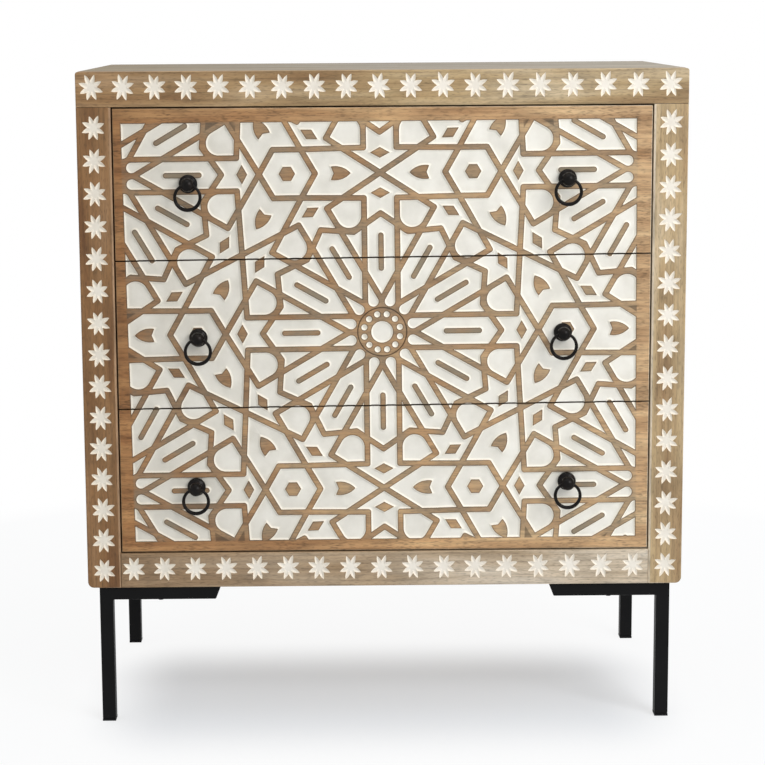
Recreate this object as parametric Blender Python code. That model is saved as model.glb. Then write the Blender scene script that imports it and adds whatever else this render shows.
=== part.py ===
"""A chest of three drawers: a wooden case behind a face frame, on four steel tube legs, with ring pulls.

Metres, +Z up. The front faces -Y, and the origin is on the floor under the middle of the whole object.
"""

import math

import bmesh
import bpy
from mathutils import Matrix, Vector

# Overall sizes
CASE_WIDTH = 0.800
CASE_DEPTH = 0.400
CASE_HEIGHT = 0.6915
LEG_HEIGHT = 0.1885

# Face frame around the drawers
FRAME_THICKNESS = 0.022
STILE_WIDTH = 0.045
TOP_RAIL_HEIGHT = 0.046
BOTTOM_RAIL_HEIGHT = 0.0475
LOWER_CORNER_RADIUS = 0.008

# Case boards
TOP_THICKNESS = 0.022
SIDE_THICKNESS = 0.020
FLOOR_THICKNESS = 0.015
BACK_THICKNESS = 0.006
DIVIDER_HEIGHT = 0.018
DIVIDER_DEPTH = 0.056

# Drawers, named from the top down
DRAWER_NAMES = ("top", "middle", "bottom")
FRONT_GAP = 0.002
FRONT_SETBACK = 0.001
FRONT_THICKNESS = 0.022
BOX_INSET = 0.009
BOX_WALL = 0.014
BOX_LIFT = 0.012
BOX_TOP_CLEARANCE = 0.039
BOX_BACK_CLEARANCE = 0.036
PLY_THICKNESS = 0.006
GROOVE_DEPTH = 0.006
GROOVE_LIFT = 0.010

# Runners: an L section, with a shelf under the drawer side and a lip beside it
SHELF_THICKNESS = 0.014
SHELF_BEARING = 0.016
LIP_HEIGHT = 0.020

# Ring pulls, set by hand: the shifts to the right and the rise are from a regular place on each drawer front,
# from the top drawer down, and each pair leans by a slope of PULL_LEAN
PULL_INSET = 0.1535
LEFT_PULL_SHIFT = (-0.009, 0.001, -0.005)
RIGHT_PULL_SHIFT = (-0.0043, -0.009, -0.0024)
PULL_LEAN = 0.008
PULL_RISE = (0.0015, -0.004, -0.0075)
BOSS_RADIUS = 0.0123
BOSS_RIM = 0.0020
BOSS_HEIGHT = 0.0055
NECK_RADIUS = 0.0050
BALL_RADIUS = 0.0092
BALL_REACH = 0.0140
RING_RADIUS = 0.01675
WIRE_RADIUS = 0.0020
RING_PLAY = 0.0028
STUD_RADIUS = 0.0025
STUD_TAIL = 0.0065
NUT_ACROSS_FLATS = 0.008
NUT_THICKNESS = 0.004

# Legs of square tube, each with two arms under the case
TUBE = 0.018
TUBE_WALL = 0.0015
TUBE_CORNER = 0.0012
LEG_INSET = 0.0145
LEG_SETBACK = 0.006
REAR_LEG_SETBACK = 0.038
FRONT_ARM_LENGTH = 0.164
SIDE_ARM_LENGTH = 0.120
ARM_MITRE = 0.007
SCREW_HOLE_RADIUS = 0.003
FOOT_THICKNESS = 0.003
FOOT_PLUG = 0.012

# Fits and edges
FIT = 0.0003
RUNNING_GAP = 0.001
EASED_EDGE = 0.0015

# Facets of round shapes
TURNED_SIDES = 16
RING_SEGMENTS = 24
WIRE_SIDES = 8
HOLE_SIDES = 12
DOME_STEPS = 4
BALL_STEPS = 6
CORNER_STEPS = 4

# Places that follow from the sizes
CASE_BOTTOM = LEG_HEIGHT
CASE_TOP = LEG_HEIGHT + CASE_HEIGHT
PULL_REACH = FIT + BALL_REACH + BALL_RADIUS - FRONT_SETBACK
CASE_FRONT = (PULL_REACH - CASE_DEPTH) / 2
CASE_BACK = CASE_FRONT + CASE_DEPTH
FRAME_BACK = CASE_FRONT + FRAME_THICKNESS
SIDE_INNER = CASE_WIDTH / 2 - SIDE_THICKNESS
OPENING_BOTTOM = CASE_BOTTOM + BOTTOM_RAIL_HEIGHT
OPENING_TOP = CASE_TOP - TOP_RAIL_HEIGHT
OPENING_HALF = CASE_WIDTH / 2 - STILE_WIDTH
DRAWER_PITCH = (OPENING_TOP - OPENING_BOTTOM - FRONT_GAP) / len(DRAWER_NAMES)
FRONT_HEIGHT = DRAWER_PITCH - FRONT_GAP
FRONT_HALF = OPENING_HALF - FRONT_GAP
FRONT_FACE = CASE_FRONT + FRONT_SETBACK
FRONT_BACK = FRONT_FACE + FRONT_THICKNESS
BACK_INNER = CASE_BACK - BACK_THICKNESS
DIVIDER_FRONT = max(FRONT_BACK, FRAME_BACK) + FIT
DIVIDER_BACK = DIVIDER_FRONT + DIVIDER_DEPTH
BOX_HALF = FRONT_HALF - BOX_INSET
BOX_HEIGHT = FRONT_HEIGHT - BOX_LIFT - BOX_TOP_CLEARANCE
BOX_DEPTH = BACK_INNER - BOX_BACK_CLEARANCE - FRONT_BACK - FIT
PULL_X = CASE_WIDTH / 2 - PULL_INSET
RING_HOLE_RADIUS = WIRE_RADIUS + RING_PLAY


def material(name, colour, roughness, metallic=0.0):
    """A plain Principled material of one colour."""
    made = bpy.data.materials.new(name)
    made.use_nodes = True
    shader = made.node_tree.nodes["Principled BSDF"]
    shader.inputs["Base Color"].default_value = (*colour, 1.0)
    shader.inputs["Roughness"].default_value = roughness
    shader.inputs["Metallic"].default_value = metallic
    return made


def place(name, mesh, look, location=(0, 0, 0), parent=None):
    """A named object for a mesh, with its material, at a place under its parent."""
    if look is not None and not mesh.materials:
        mesh.materials.append(look)
    made = bpy.data.objects.new(name, mesh)
    bpy.context.scene.collection.objects.link(made)
    made.parent = parent
    made.location = location
    return made


def mesh_of(name, bm):
    """The finished mesh of a bmesh, with its faces pointing out."""
    bmesh.ops.recalc_face_normals(bm, faces=bm.faces)
    made = bpy.data.meshes.new(name)
    bm.to_mesh(made)
    bm.free()
    return made


def box_mesh(name, low, high):
    """A box between two corners."""
    low, high = Vector(low), Vector(high)
    bm = bmesh.new()
    bmesh.ops.create_cube(bm, size=1.0)
    bmesh.ops.scale(bm, vec=high - low, verts=bm.verts)
    bmesh.ops.translate(bm, vec=(low + high) / 2, verts=bm.verts)
    return mesh_of(name, bm)


def prism_mesh(name, outline, y_low, y_high):
    """An outline of (x, z) points carried straight along Y."""
    bm = bmesh.new()
    face = bm.faces.new([bm.verts.new((x, y_low, z)) for x, z in outline])
    grown = bmesh.ops.extrude_face_region(bm, geom=[face])
    moved = [item for item in grown["geom"] if isinstance(item, bmesh.types.BMVert)]
    bmesh.ops.translate(bm, vec=(0, y_high - y_low, 0), verts=moved)
    return mesh_of(name, bm)


def cylinder_mesh(name, radius, length, axis, centre):
    """A round bar of a given length about a centre, along axis X, Y or Z."""
    turn = {"X": Matrix.Rotation(math.pi / 2, 4, "Y"), "Y": Matrix.Rotation(math.pi / 2, 4, "X"), "Z": Matrix()}
    bm = bmesh.new()
    bmesh.ops.create_cone(
        bm,
        cap_ends=True,
        segments=HOLE_SIDES,
        radius1=radius,
        radius2=radius,
        depth=length,
        matrix=Matrix.Translation(centre) @ turn[axis],
    )
    return mesh_of(name, bm)


def arc(centre, radius, start, end, steps):
    """Points on a circle from one angle to another, in degrees."""
    angles = [math.radians(start + (end - start) * i / steps) for i in range(steps + 1)]
    return [(centre[0] + radius * math.cos(a), centre[1] + radius * math.sin(a)) for a in angles]


def shade_round(mesh, angle=40):
    """Smooth shading, kept sharp where faces meet at more than an angle."""
    mesh.shade_smooth()
    mesh.set_sharp_from_angle(angle=math.radians(angle))


def ease_edges(obj, width=EASED_EDGE, segments=1):
    """A small flat or round on every edge of a board."""
    bevel = obj.modifiers.new("eased_edges", "BEVEL")
    bevel.width = width
    bevel.segments = segments
    bevel.limit_method = "ANGLE"
    bevel.angle_limit = math.radians(60)
    return obj


def cut(obj, name, mesh):
    """Cuts a mesh, given in the object's own coordinates, out of the object."""
    cutter = place(name, mesh, None, obj.location, obj.parent)
    cutter.hide_render = True
    cutter.display_type = "WIRE"
    boolean = obj.modifiers.new(name, "BOOLEAN")
    boolean.operation = "DIFFERENCE"
    boolean.object = cutter


def board(name, low, high, look, parent=None, segments=1):
    """A board between two corners, with eased edges and its origin in its middle."""
    low, high = Vector(low), Vector(high)
    half = (high - low) / 2
    obj = place(name, box_mesh(name, -half, half), look, (low + high) / 2, parent)
    return ease_edges(obj, segments=segments)


def case_boards(wood, ply):
    """The top, sides, floor, back and the two dividers behind the drawer fronts."""
    half = CASE_WIDTH / 2
    behind_frame = FRAME_BACK + FIT
    under_top = CASE_TOP - TOP_THICKNESS
    board("top_board", (-half, behind_frame, under_top), (half, CASE_BACK, CASE_TOP), wood, segments=2)
    for name, side in (("left_side_panel", -1), ("right_side_panel", 1)):
        outline = rounded_lower_corner(side, SIDE_INNER, half, CASE_BOTTOM, under_top - FIT)
        panel = place(name, prism_mesh(name, outline, behind_frame, CASE_BACK), wood)
        ease_edges(panel)
    inner = SIDE_INNER - FIT
    floor_top = CASE_BOTTOM + FLOOR_THICKNESS
    floor_back = BACK_INNER - FIT
    board("floor_panel", (-inner, behind_frame, CASE_BOTTOM), (inner, floor_back, floor_top), ply)
    back = box_mesh("back_panel", (-inner, BACK_INNER, CASE_BOTTOM), (inner, CASE_BACK, under_top - FIT))
    place("back_panel", back, ply)
    for name, rank in (("upper_divider", 1), ("lower_divider", 2)):
        middle = OPENING_TOP - rank * DRAWER_PITCH - FRONT_GAP / 2
        low = (-inner, DIVIDER_FRONT, middle - DIVIDER_HEIGHT / 2)
        high = (inner, DIVIDER_BACK, middle + DIVIDER_HEIGHT / 2)
        board(name, low, high, wood)


def rounded_lower_corner(side, inner, outer, bottom, top):
    """An upright rectangle in X and Z whose lower outer corner is round; side is -1 for left, 1 for right."""
    radius = min(LOWER_CORNER_RADIUS, (outer - inner) / 2)
    corner = arc((outer - radius, bottom + radius), radius, -90, 0, CORNER_STEPS)
    outline = [(inner, bottom), *corner, (outer, top), (inner, top)]
    return [(side * x, z) for x, z in outline]


def face_frame(wood):
    """The two rails and two stiles around the drawers: the top rail runs over the stiles' ends."""
    half = CASE_WIDTH / 2
    board("top_rail", (-half, CASE_FRONT, OPENING_TOP), (half, FRAME_BACK, CASE_TOP), wood, segments=2)
    for name, side in (("left_stile", -1), ("right_stile", 1)):
        outline = rounded_lower_corner(side, OPENING_HALF, half, CASE_BOTTOM, OPENING_TOP - FIT)
        stile = place(name, prism_mesh(name, outline, CASE_FRONT, FRAME_BACK), wood)
        ease_edges(stile)
    reach = OPENING_HALF - FIT
    low = (-reach, CASE_FRONT, CASE_BOTTOM)
    board("bottom_rail", low, (reach, FRAME_BACK, OPENING_BOTTOM), wood, segments=2)


def runners(wood):
    """An L-section runner on each side panel for each drawer, from the divider to the back panel."""
    lip = BOX_HALF + RUNNING_GAP
    outer = SIDE_INNER - FIT
    shelf_inner = BOX_HALF - SHELF_BEARING
    for rank, drawer in enumerate(DRAWER_NAMES):
        shelf_top = front_bottom(rank) + BOX_LIFT - FIT
        shelf_bottom = shelf_top - SHELF_THICKNESS
        for hand, side in (("left", -1), ("right", 1)):
            outline = [
                (shelf_inner, shelf_bottom),
                (outer, shelf_bottom),
                (outer, shelf_top + LIP_HEIGHT),
                (lip, shelf_top + LIP_HEIGHT),
                (lip, shelf_top),
                (shelf_inner, shelf_top),
            ]
            name = f"{drawer}_{hand}_runner"
            profile = [(side * x, z) for x, z in outline]
            place(name, prism_mesh(name, profile, DIVIDER_BACK + FIT, BACK_INNER - FIT), wood)


def front_bottom(rank):
    """Height of the lower edge of a drawer front, counted from the top drawer."""
    return OPENING_TOP - (rank + 1) * DRAWER_PITCH


def pull_place(rank, side):
    """Where a pull sits on its drawer front, from the middle of the front."""
    shift = LEFT_PULL_SHIFT if side < 0 else RIGHT_PULL_SHIFT
    x = side * PULL_X + shift[rank]
    return x, PULL_RISE[rank] + PULL_LEAN * x


def drawer(rank, name, wood, inner_wood, ply):
    """One drawer: a front with a grooved back face, grooved sides, a back, and a plywood bottom.

    Its parent empty is in the middle of the front's face, and moves with the drawer."""
    body = bpy.data.objects.new(f"{name}_drawer", None)
    bpy.context.scene.collection.objects.link(body)
    body.location = (0, FRONT_FACE, front_bottom(rank) + FRONT_HEIGHT / 2)
    lower = -FRONT_HEIGHT / 2
    front = place(f"{name}_drawer_front", front_mesh(name), wood, parent=body)
    ease_edges(front, segments=2)

    box_low = lower + BOX_LIFT
    box_high = box_low + BOX_HEIGHT
    box_front = FRONT_THICKNESS + FIT
    box_back = box_front + BOX_DEPTH
    groove_low = box_low + GROOVE_LIFT
    groove_high = groove_low + PLY_THICKNESS + 2 * FIT
    inside = BOX_HALF - BOX_WALL
    groove_reach = inside + GROOVE_DEPTH
    for hand, side in (("left", -1), ("right", 1)):
        outline = [
            (inside, box_low),
            (BOX_HALF, box_low),
            (BOX_HALF, box_high),
            (inside, box_high),
            (inside, groove_high),
            (groove_reach, groove_high),
            (groove_reach, groove_low),
            (inside, groove_low),
        ]
        profile = [(side * x, z) for x, z in outline]
        part_name = f"{name}_drawer_{hand}_side"
        place(part_name, prism_mesh(part_name, profile, box_front, box_back), inner_wood, parent=body)

    ply_reach = groove_reach - FIT
    ply_low = (-ply_reach, FRONT_THICKNESS - GROOVE_DEPTH + FIT, groove_low + FIT)
    ply_high = (ply_reach, box_back, groove_high - FIT)
    bottom = box_mesh(f"{name}_drawer_bottom", ply_low, ply_high)
    place(f"{name}_drawer_bottom", bottom, ply, parent=body)

    back_low = (-inside + FIT, box_back - BOX_WALL, groove_high)
    back_high = (inside - FIT, box_back, box_high)
    board(f"{name}_drawer_back", back_low, back_high, inner_wood, body)

    cut_low = (-groove_reach, FRONT_THICKNESS - GROOVE_DEPTH, groove_low)
    cut_high = (groove_reach, FRONT_THICKNESS + GROOVE_DEPTH, groove_high)
    cut(front, f"{name}_front_groove", box_mesh("front_groove", cut_low, cut_high))
    for hand, side in (("left", -1), ("right", 1)):
        x, rise = pull_place(rank, side)
        middle = (x, FRONT_THICKNESS / 2, rise)
        hole = cylinder_mesh("stud_hole", STUD_RADIUS + FIT, 2 * FRONT_THICKNESS, "Y", middle)
        cut(front, f"{name}_{hand}_stud_hole", hole)
    return body


def front_mesh(name):
    """The plain board of a drawer front, about the middle of its face."""
    low = (-FRONT_HALF, 0, -FRONT_HEIGHT / 2)
    high = (FRONT_HALF, FRONT_THICKNESS, FRONT_HEIGHT / 2)
    return box_mesh(f"{name}_drawer_front", low, high)


def turned_mesh(name, profile):
    """A profile of (radius, y) points spun about the Y axis; its ends lie on the axis."""
    bm = bmesh.new()
    points = [bm.verts.new((radius, y, 0)) for radius, y in profile]
    edges = [bm.edges.new(pair) for pair in zip(points, points[1:])]
    bmesh.ops.spin(
        bm,
        geom=points + edges,
        cent=(0, 0, 0),
        axis=(0, 1, 0),
        angle=2 * math.pi,
        steps=TURNED_SIDES,
        use_merge=True,
    )
    bmesh.ops.remove_doubles(bm, verts=bm.verts, dist=FIT / 30)
    return mesh_of(name, bm)


def knob_mesh():
    """A boss, a neck and a ball in one turned piece, with a stud behind and a cross hole for the ring.

    Its origin is the middle of the boss's back face, and it stands out along -Y."""
    dome = arc((0, 0), 1, 0, 90, DOME_STEPS)
    dome_reach = BOSS_RADIUS - NECK_RADIUS
    dome_height = BOSS_HEIGHT - BOSS_RIM
    boss = [(NECK_RADIUS + dome_reach * c, -BOSS_RIM - dome_height * s) for c, s in dome]
    joined = math.degrees(math.asin(NECK_RADIUS / BALL_RADIUS))
    ball = arc((0, 0), BALL_RADIUS, joined, 180, BALL_STEPS)
    ball_profile = [(max(y, 0.0), x - BALL_REACH) for x, y in ball]
    tail = FRONT_THICKNESS + STUD_TAIL
    stud = [(0, tail), (STUD_RADIUS, tail), (STUD_RADIUS, 0)]
    mesh = turned_mesh("ring_knob", [*stud, (BOSS_RADIUS, 0), *boss, *ball_profile])
    blank = place("knob_blank", mesh, None)
    cutter_mesh = cylinder_mesh("ring_hole", RING_HOLE_RADIUS, 4 * BALL_RADIUS, "X", (0, -BALL_REACH, 0))
    cut(blank, "ring_hole", cutter_mesh)
    finished = evaluated_copy(blank, "ring_knob")
    bpy.data.objects.remove(bpy.data.objects["ring_hole"])
    bpy.data.objects.remove(blank)
    shade_round(finished)
    return finished


def evaluated_copy(obj, name):
    """The object's mesh with its modifiers applied, as a new mesh."""
    bpy.context.view_layer.update()
    shaped = obj.evaluated_get(bpy.context.evaluated_depsgraph_get())
    made = bpy.data.meshes.new_from_object(shaped)
    made.name = name
    return made


def ring_mesh():
    """A round wire ring in the XZ plane that hangs from the origin, where it goes through the ball."""
    bm = bmesh.new()
    wire = bmesh.ops.create_circle(
        bm,
        segments=WIRE_SIDES,
        radius=WIRE_RADIUS,
        matrix=Matrix.Translation((RING_RADIUS, 0, 0)),
    )["verts"]
    edges = list({edge for vert in wire for edge in vert.link_edges})
    bmesh.ops.spin(
        bm,
        geom=wire + edges,
        cent=(0, 0, 0),
        axis=(0, 1, 0),
        angle=2 * math.pi,
        steps=RING_SEGMENTS,
        use_merge=True,
    )
    bmesh.ops.translate(bm, vec=(0, 0, -RING_RADIUS), verts=bm.verts)
    mesh = mesh_of("pull_ring", bm)
    mesh.shade_smooth()
    return mesh


def nut_mesh():
    """A hexagon nut on the Y axis; its outline has a point at each corner and at the middle of each flat."""
    count = 12
    bore = (STUD_RADIUS + FIT) / math.cos(math.pi / count)
    apothem = NUT_ACROSS_FLATS / 2
    bm = bmesh.new()
    loops = []
    for y in (0, NUT_THICKNESS):
        outer = []
        inner = []
        for i in range(count):
            angle = 2 * math.pi * i / count
            reach = apothem if i % 2 == 0 else apothem / math.cos(math.pi / 6)
            outer.append(bm.verts.new((reach * math.cos(angle), y, reach * math.sin(angle))))
            inner.append(bm.verts.new((bore * math.cos(angle), y, bore * math.sin(angle))))
        loops += [outer, inner]
    near_outer, near_inner, far_outer, far_inner = loops
    around = [near_outer, far_outer, far_inner, near_inner]
    for first, second in zip(around, around[1:] + around[:1]):
        for i in range(count):
            j = (i + 1) % count
            bm.faces.new((first[i], first[j], second[j], second[i]))
    return mesh_of("pull_nut", bm)


def pulls(drawers, iron):
    """A knob, its ring and its nut at each end of each drawer front; copies share one mesh."""
    knob = knob_mesh()
    ring = ring_mesh()
    nut = nut_mesh()
    for rank, (name, body) in enumerate(drawers.items()):
        for hand, side in (("left", -1), ("right", 1)):
            x, rise = pull_place(rank, side)
            place(f"{name}_{hand}_knob", knob, iron, (x, -FIT, rise), body)
            place(f"{name}_{hand}_ring", ring, iron, (x, -FIT - BALL_REACH, rise), body)
            place(f"{name}_{hand}_nut", nut, iron, (x, FRONT_THICKNESS + FIT, rise), body)


def bracket_mesh(name, width, reach, arms, mitre):
    """A post and two arms that leave its top block, grown from one cube by pushing out three of its faces.

    The block's outer lower-left corner is at the origin's side of +X and +Y; width is the bar's thickness,
    reach how far the post goes down, arms the lengths along X and Y, and mitre how much shorter the arms
    are at their undersides."""
    bm = bmesh.new()
    bmesh.ops.create_cube(bm, size=width)
    pushes = ((Vector((0, 0, -1)), reach), (Vector((1, 0, 0)), arms[0]), (Vector((0, 1, 0)), arms[1]))
    for direction, length in pushes:
        middle = direction * width / 2
        face = min(bm.faces, key=lambda f: (f.calc_center_median() - middle).length)
        grown = bmesh.ops.extrude_discrete_faces(bm, faces=[face])["faces"][0]
        bmesh.ops.translate(bm, vec=direction * length, verts=grown.verts)
        if direction.z == 0:
            lower = [vert for vert in grown.verts if vert.co.z < 0]
            bmesh.ops.translate(bm, vec=direction * -mitre, verts=lower)
    return mesh_of(name, bm)


def mirrored(mesh, x_sign, y_sign):
    """Mirrors a mesh in X and Y, and keeps its faces pointing out."""
    bm = bmesh.new()
    bm.from_mesh(mesh)
    bmesh.ops.scale(bm, vec=(x_sign, y_sign, 1), verts=bm.verts)
    bmesh.ops.recalc_face_normals(bm, faces=bm.faces)
    bm.to_mesh(mesh)
    bm.free()
    return mesh


def legs(steel, plastic):
    """Four hollow tube legs with mitred arms, and a foot plug in the end of each.

    The mesh of a leg is about the middle of its top block, with its arms towards +X and +Y."""
    corners = (
        ("front_left", -1, -1),
        ("front_right", 1, -1),
        ("rear_left", -1, 1),
        ("rear_right", 1, 1),
    )
    bore = TUBE - 2 * TUBE_WALL
    post = LEG_HEIGHT - TUBE - FOOT_THICKNESS - 2 * FIT
    arms = (FRONT_ARM_LENGTH - TUBE, SIDE_ARM_LENGTH - TUBE)
    through = tuple(length + TUBE for length in arms)
    leg_x = CASE_WIDTH / 2 - LEG_INSET - TUBE / 2
    leg_front = CASE_FRONT + LEG_SETBACK + TUBE / 2
    leg_back = CASE_BACK - REAR_LEG_SETBACK - TUBE / 2
    for corner, x_side, y_side in corners:
        place_at = (x_side * leg_x, leg_front if y_side < 0 else leg_back, CASE_BOTTOM - FIT - TUBE / 2)
        tube = mirrored(bracket_mesh("leg", TUBE, post, arms, ARM_MITRE), -x_side, -y_side)
        leg = ease_edges(place(f"{corner}_leg", tube, steel, place_at), TUBE_CORNER, 2)
        hollow = bracket_mesh("leg_bore", bore, post + TUBE, through, 0)
        cut(leg, f"{corner}_leg_bore", mirrored(hollow, -x_side, -y_side))
        holes = ((-x_side * arms[0] / 2, 0, 0), (0, -y_side * arms[1] / 2, 0))
        for which, middle in zip(("front", "side"), holes):
            hole = cylinder_mesh("screw_hole", SCREW_HOLE_RADIUS, 2 * TUBE, "Z", middle)
            cut(leg, f"{corner}_{which}_screw_hole", hole)
        foot(f"{corner}_foot", place_at, bore, plastic)


def foot(name, leg_at, bore, plastic):
    """A square plug in the tube with a flat sole under it, grown from the sole's top face."""
    bm = bmesh.new()
    bmesh.ops.create_cube(bm, size=1)
    bmesh.ops.scale(bm, vec=(TUBE, TUBE, FOOT_THICKNESS), verts=bm.verts)
    bmesh.ops.translate(bm, vec=(0, 0, FOOT_THICKNESS / 2), verts=bm.verts)
    bm.normal_update()
    top = max(bm.faces, key=lambda f: f.normal.z)
    bmesh.ops.inset_region(bm, faces=[top], thickness=TUBE_WALL + FIT, use_even_offset=True)
    plug = bmesh.ops.extrude_discrete_faces(bm, faces=[top])["faces"][0]
    bmesh.ops.translate(bm, vec=(0, 0, FOOT_PLUG), verts=plug.verts)
    place(name, mesh_of(name, bm), plastic, (leg_at[0], leg_at[1], 0))


def main():
    for old in list(bpy.data.objects):
        bpy.data.objects.remove(old)
    wood = material("mango_wood", (0.40, 0.24, 0.125), 0.55)
    inner_wood = material("drawer_wood", (0.55, 0.38, 0.22), 0.6)
    ply = material("plywood", (0.50, 0.36, 0.22), 0.65)
    iron = material("blackened_iron", (0.02, 0.019, 0.018), 0.45, 0.8)
    steel = material("black_steel", (0.012, 0.012, 0.013), 0.4, 0.3)
    plastic = material("foot_plastic", (0.015, 0.015, 0.015), 0.6)
    case_boards(wood, ply)
    face_frame(wood)
    runners(inner_wood)
    drawers = {name: drawer(rank, name, wood, inner_wood, ply) for rank, name in enumerate(DRAWER_NAMES)}
    pulls(drawers, iron)
    legs(steel, plastic)


main()
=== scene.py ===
import math

import bpy
import numpy as np
from mathutils import Matrix, Vector
from mathutils.geometry import delaunay_2d_cdt


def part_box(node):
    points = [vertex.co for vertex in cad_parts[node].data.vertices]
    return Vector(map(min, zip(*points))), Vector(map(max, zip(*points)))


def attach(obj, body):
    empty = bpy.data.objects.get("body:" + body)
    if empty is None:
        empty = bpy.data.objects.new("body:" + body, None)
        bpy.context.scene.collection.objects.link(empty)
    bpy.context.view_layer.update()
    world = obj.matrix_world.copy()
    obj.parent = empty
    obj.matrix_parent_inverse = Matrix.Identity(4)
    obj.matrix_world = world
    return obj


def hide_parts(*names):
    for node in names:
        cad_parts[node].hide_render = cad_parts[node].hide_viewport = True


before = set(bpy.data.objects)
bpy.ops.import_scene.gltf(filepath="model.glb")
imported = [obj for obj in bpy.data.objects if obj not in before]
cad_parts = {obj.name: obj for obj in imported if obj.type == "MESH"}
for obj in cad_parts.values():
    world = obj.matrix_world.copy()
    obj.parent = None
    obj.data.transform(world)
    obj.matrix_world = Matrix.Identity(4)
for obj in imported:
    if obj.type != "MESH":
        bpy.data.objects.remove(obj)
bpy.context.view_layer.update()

MM = 0.001
DRAWERS = ("top", "middle", "bottom")
HANDS = ("left", "right")
CORNERS = ("front_left", "front_right", "rear_left", "rear_right")
CASE_HALF = 0.4

# The carving. One rosette sits in the middle of the three fronts and its six neighbours stand two reaches
# away, the first at 30 degrees. The reach and the middle are in metres, and lengths of the pattern that carry
# no MM are measured in reaches, apart from the tulips, which are drawn in mm.
REACH = 0.2114
CARVING_MIDDLE = (-0.0021, 0.5350)
CARVING_TURN = 0.0080
STRAP_HALF = 3.85 * MM
PETAL_HALF = 0.1024
PETAL_END = 0.8435
BAND_OUTER, BAND_INNER = 0.748, 0.6535
HEXAGON = 0.174
BOSS = 0.1536
PEARL_RADIUS = 14.4 * MM
DOT_RADIUS, DOT_CIRCLE = 4.0 * MM, 24.3 * MM
DROP_AT, DROP_FIELD, KITE_AT = 0.200, 0.45, 0.760
GROOVE_START, GROOVE_END, GROOVE_HALF = 0.386, 0.627, 0.0172
DIAMOND_AT, DIAMOND_HALF = 0.875, (7.1 * MM, 13.0 * MM)
TULIP_BOW, TULIP_BOW_AT = 27.4, (59.1, -18.06)
TULIP_TIP, TULIP_NOTCH = (64.5, 8.8), (61.0, 0.0)
HEXAGON_BUD = 10.8 * MM
# The border of the carving, in metres: left and right sides as (x at the middle height, lean), bottom and top
# as (z at the middle, slope).
SIDE_LINES = ((-0.3381, -0.0136), (0.3344, -0.0080))
END_LINES = ((0.2536, 0.0039), (0.8135, 0.0039))
# Narrow offcuts along the border: the smallest half width that is kept, the grid that finds them, how far a
# kept part may fill its cell, how often and how softly the end that is left is smoothed, and what keeps the
# limit finite away from them.
SLIVER, SLIVER_PITCH, SLIVER_SPREAD = 3.2 * MM, 0.8 * MM, 40 * MM
SLIVER_SMOOTHINGS, SLIVER_EASE, SLIVER_CLEAR = 6, 1.8 * MM, 0.02

# How deep the cutter goes at a distance from the edge of a cell: an eased edge, a steep wall, a flat floor.
# The first step cuts nothing: it marks how far dark wax and painted shade reach over the wood.
CELL_STEPS = np.array((-1.7, -0.5, 0.0, 1.2, 2.6)) * MM
CELL_DEPTHS = np.array((0.0, 0.0, 0.2, 2.2, 2.9)) * MM
STAR_STEPS = np.array((-0.4, 0.0, 1.0, 2.2)) * MM
STAR_DEPTHS = np.array((0.0, 0.15, 1.5, 2.3)) * MM
# A fine ring is scored round the boss of the middle rosette.
SCORE_STEPS = np.array((-1.3, 0.0, 1.3)) * MM
SCORE_DEPTHS = np.array((0.0, 1.0, 0.0)) * MM
# How strongly dark wax and painted shade darken the edges of the cells, and how much grey paint haze the
# grooves and the straps keep.
EDGE_WAX_AND_SHADE, GROOVE_HAZE, STRAP_HAZE = 0.85, 0.66, 0.42
# How finely carved lines are followed. How far a line may leave its points, its longest straight piece, and
# the most rounds and the seed of its straightening. When two points are one, when a triangle is nothing, and
# up to how many mm the distance from the edge of a cell is noted.
CELL_PITCH, STAR_PITCH = 0.9 * MM, 0.5 * MM
LINE_TOLERANCE, LONGEST_PIECE = 0.02 * MM, 40 * MM
LINE_ROUNDS, LINE_SEED = 60, 7
SAME_POINT, NO_AREA, DEEPEST_MARK = 1e-7, 1e-13, 6

# A star of the face frame: its petals and the angle of the first, the length of a petal from the middle,
# where its two arcs would meet again, its half width, the heart, how much taller than wide the star is, and
# how unevenly it is cut by hand, with the seed for each board.
STAR_PETALS, STAR_TURN = 8, math.radians(22.5)
STAR_REACH = 15.9 * MM
STAR_ROOT = -4.0 * MM
STAR_PETAL_HALF = 3.1 * MM
STAR_HEART = 7.1 * MM
STAR_TALL = 1.11
UNEVEN = 0.035
STAR_SEEDS = {"top_rail": 3, "bottom_rail": 5, "left_stile": 10, "right_stile": 12}
# The rows of stars were paced out: a bow moves the middle of a row and leaves its ends.
RAIL_STARS, RAIL_SPACING, RAIL_BOW = 19, 42.0 * MM, -3.4 * MM
TOP_ROW, BOTTOM_ROW = (-1.8 * MM, 2.7 * MM), (-1.0 * MM, 2.2 * MM)
STILE_STARS, STILE_SPACING = 15, 42.5 * MM
STILE_ROW_RISE = {"left": -1.3 * MM, "right": 1.2 * MM}
STILE_ROW_BOW = {"left": -3.0 * MM, "right": 0.0}

# Edges, as the width and depth that they roll over and how far they are made paler, partly rubbed to bare
# wood and partly a painted highlight where the edge catches the light, the parts of that width at which the
# roll has a line of points, and the rounded corners of the top rail and of the stiles.
TIGHT, SOFT = (0.4 * MM, 0.4 * MM, 0.0), (1.6 * MM, 1.6 * MM, 0.15)
WORN_AND_HIGHLIT, FRONT_EDGE = (3.2 * MM, 0.6 * MM, 1.0), (1.4 * MM, 1.4 * MM, 0.6)
ROLL_PARTS = (0.0, 0.2, 0.55, 1.0)
RAIL_CORNER, STILE_CORNER = 3.5 * MM, 8.0 * MM

# A pull, by its radii: the ball and the hole across it, how far the bore is narrower and shorter than the
# mouth, the neck at the ball and at the rose, how far before the ball's middle it ends, the gap behind the
# rose, and the stud.
BALL, BALL_HOLE = 9.2 * MM, 4.8 * MM
BORE_NARROWER, BORE_SHORTER = 0.3 * MM, 0.6 * MM
NECK, NECK_FOOT, NECK_END = 5.0 * MM, 5.4 * MM, 5.0 * MM
ROSE_CLEAR, STUD = 0.3 * MM, 2.5 * MM
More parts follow.
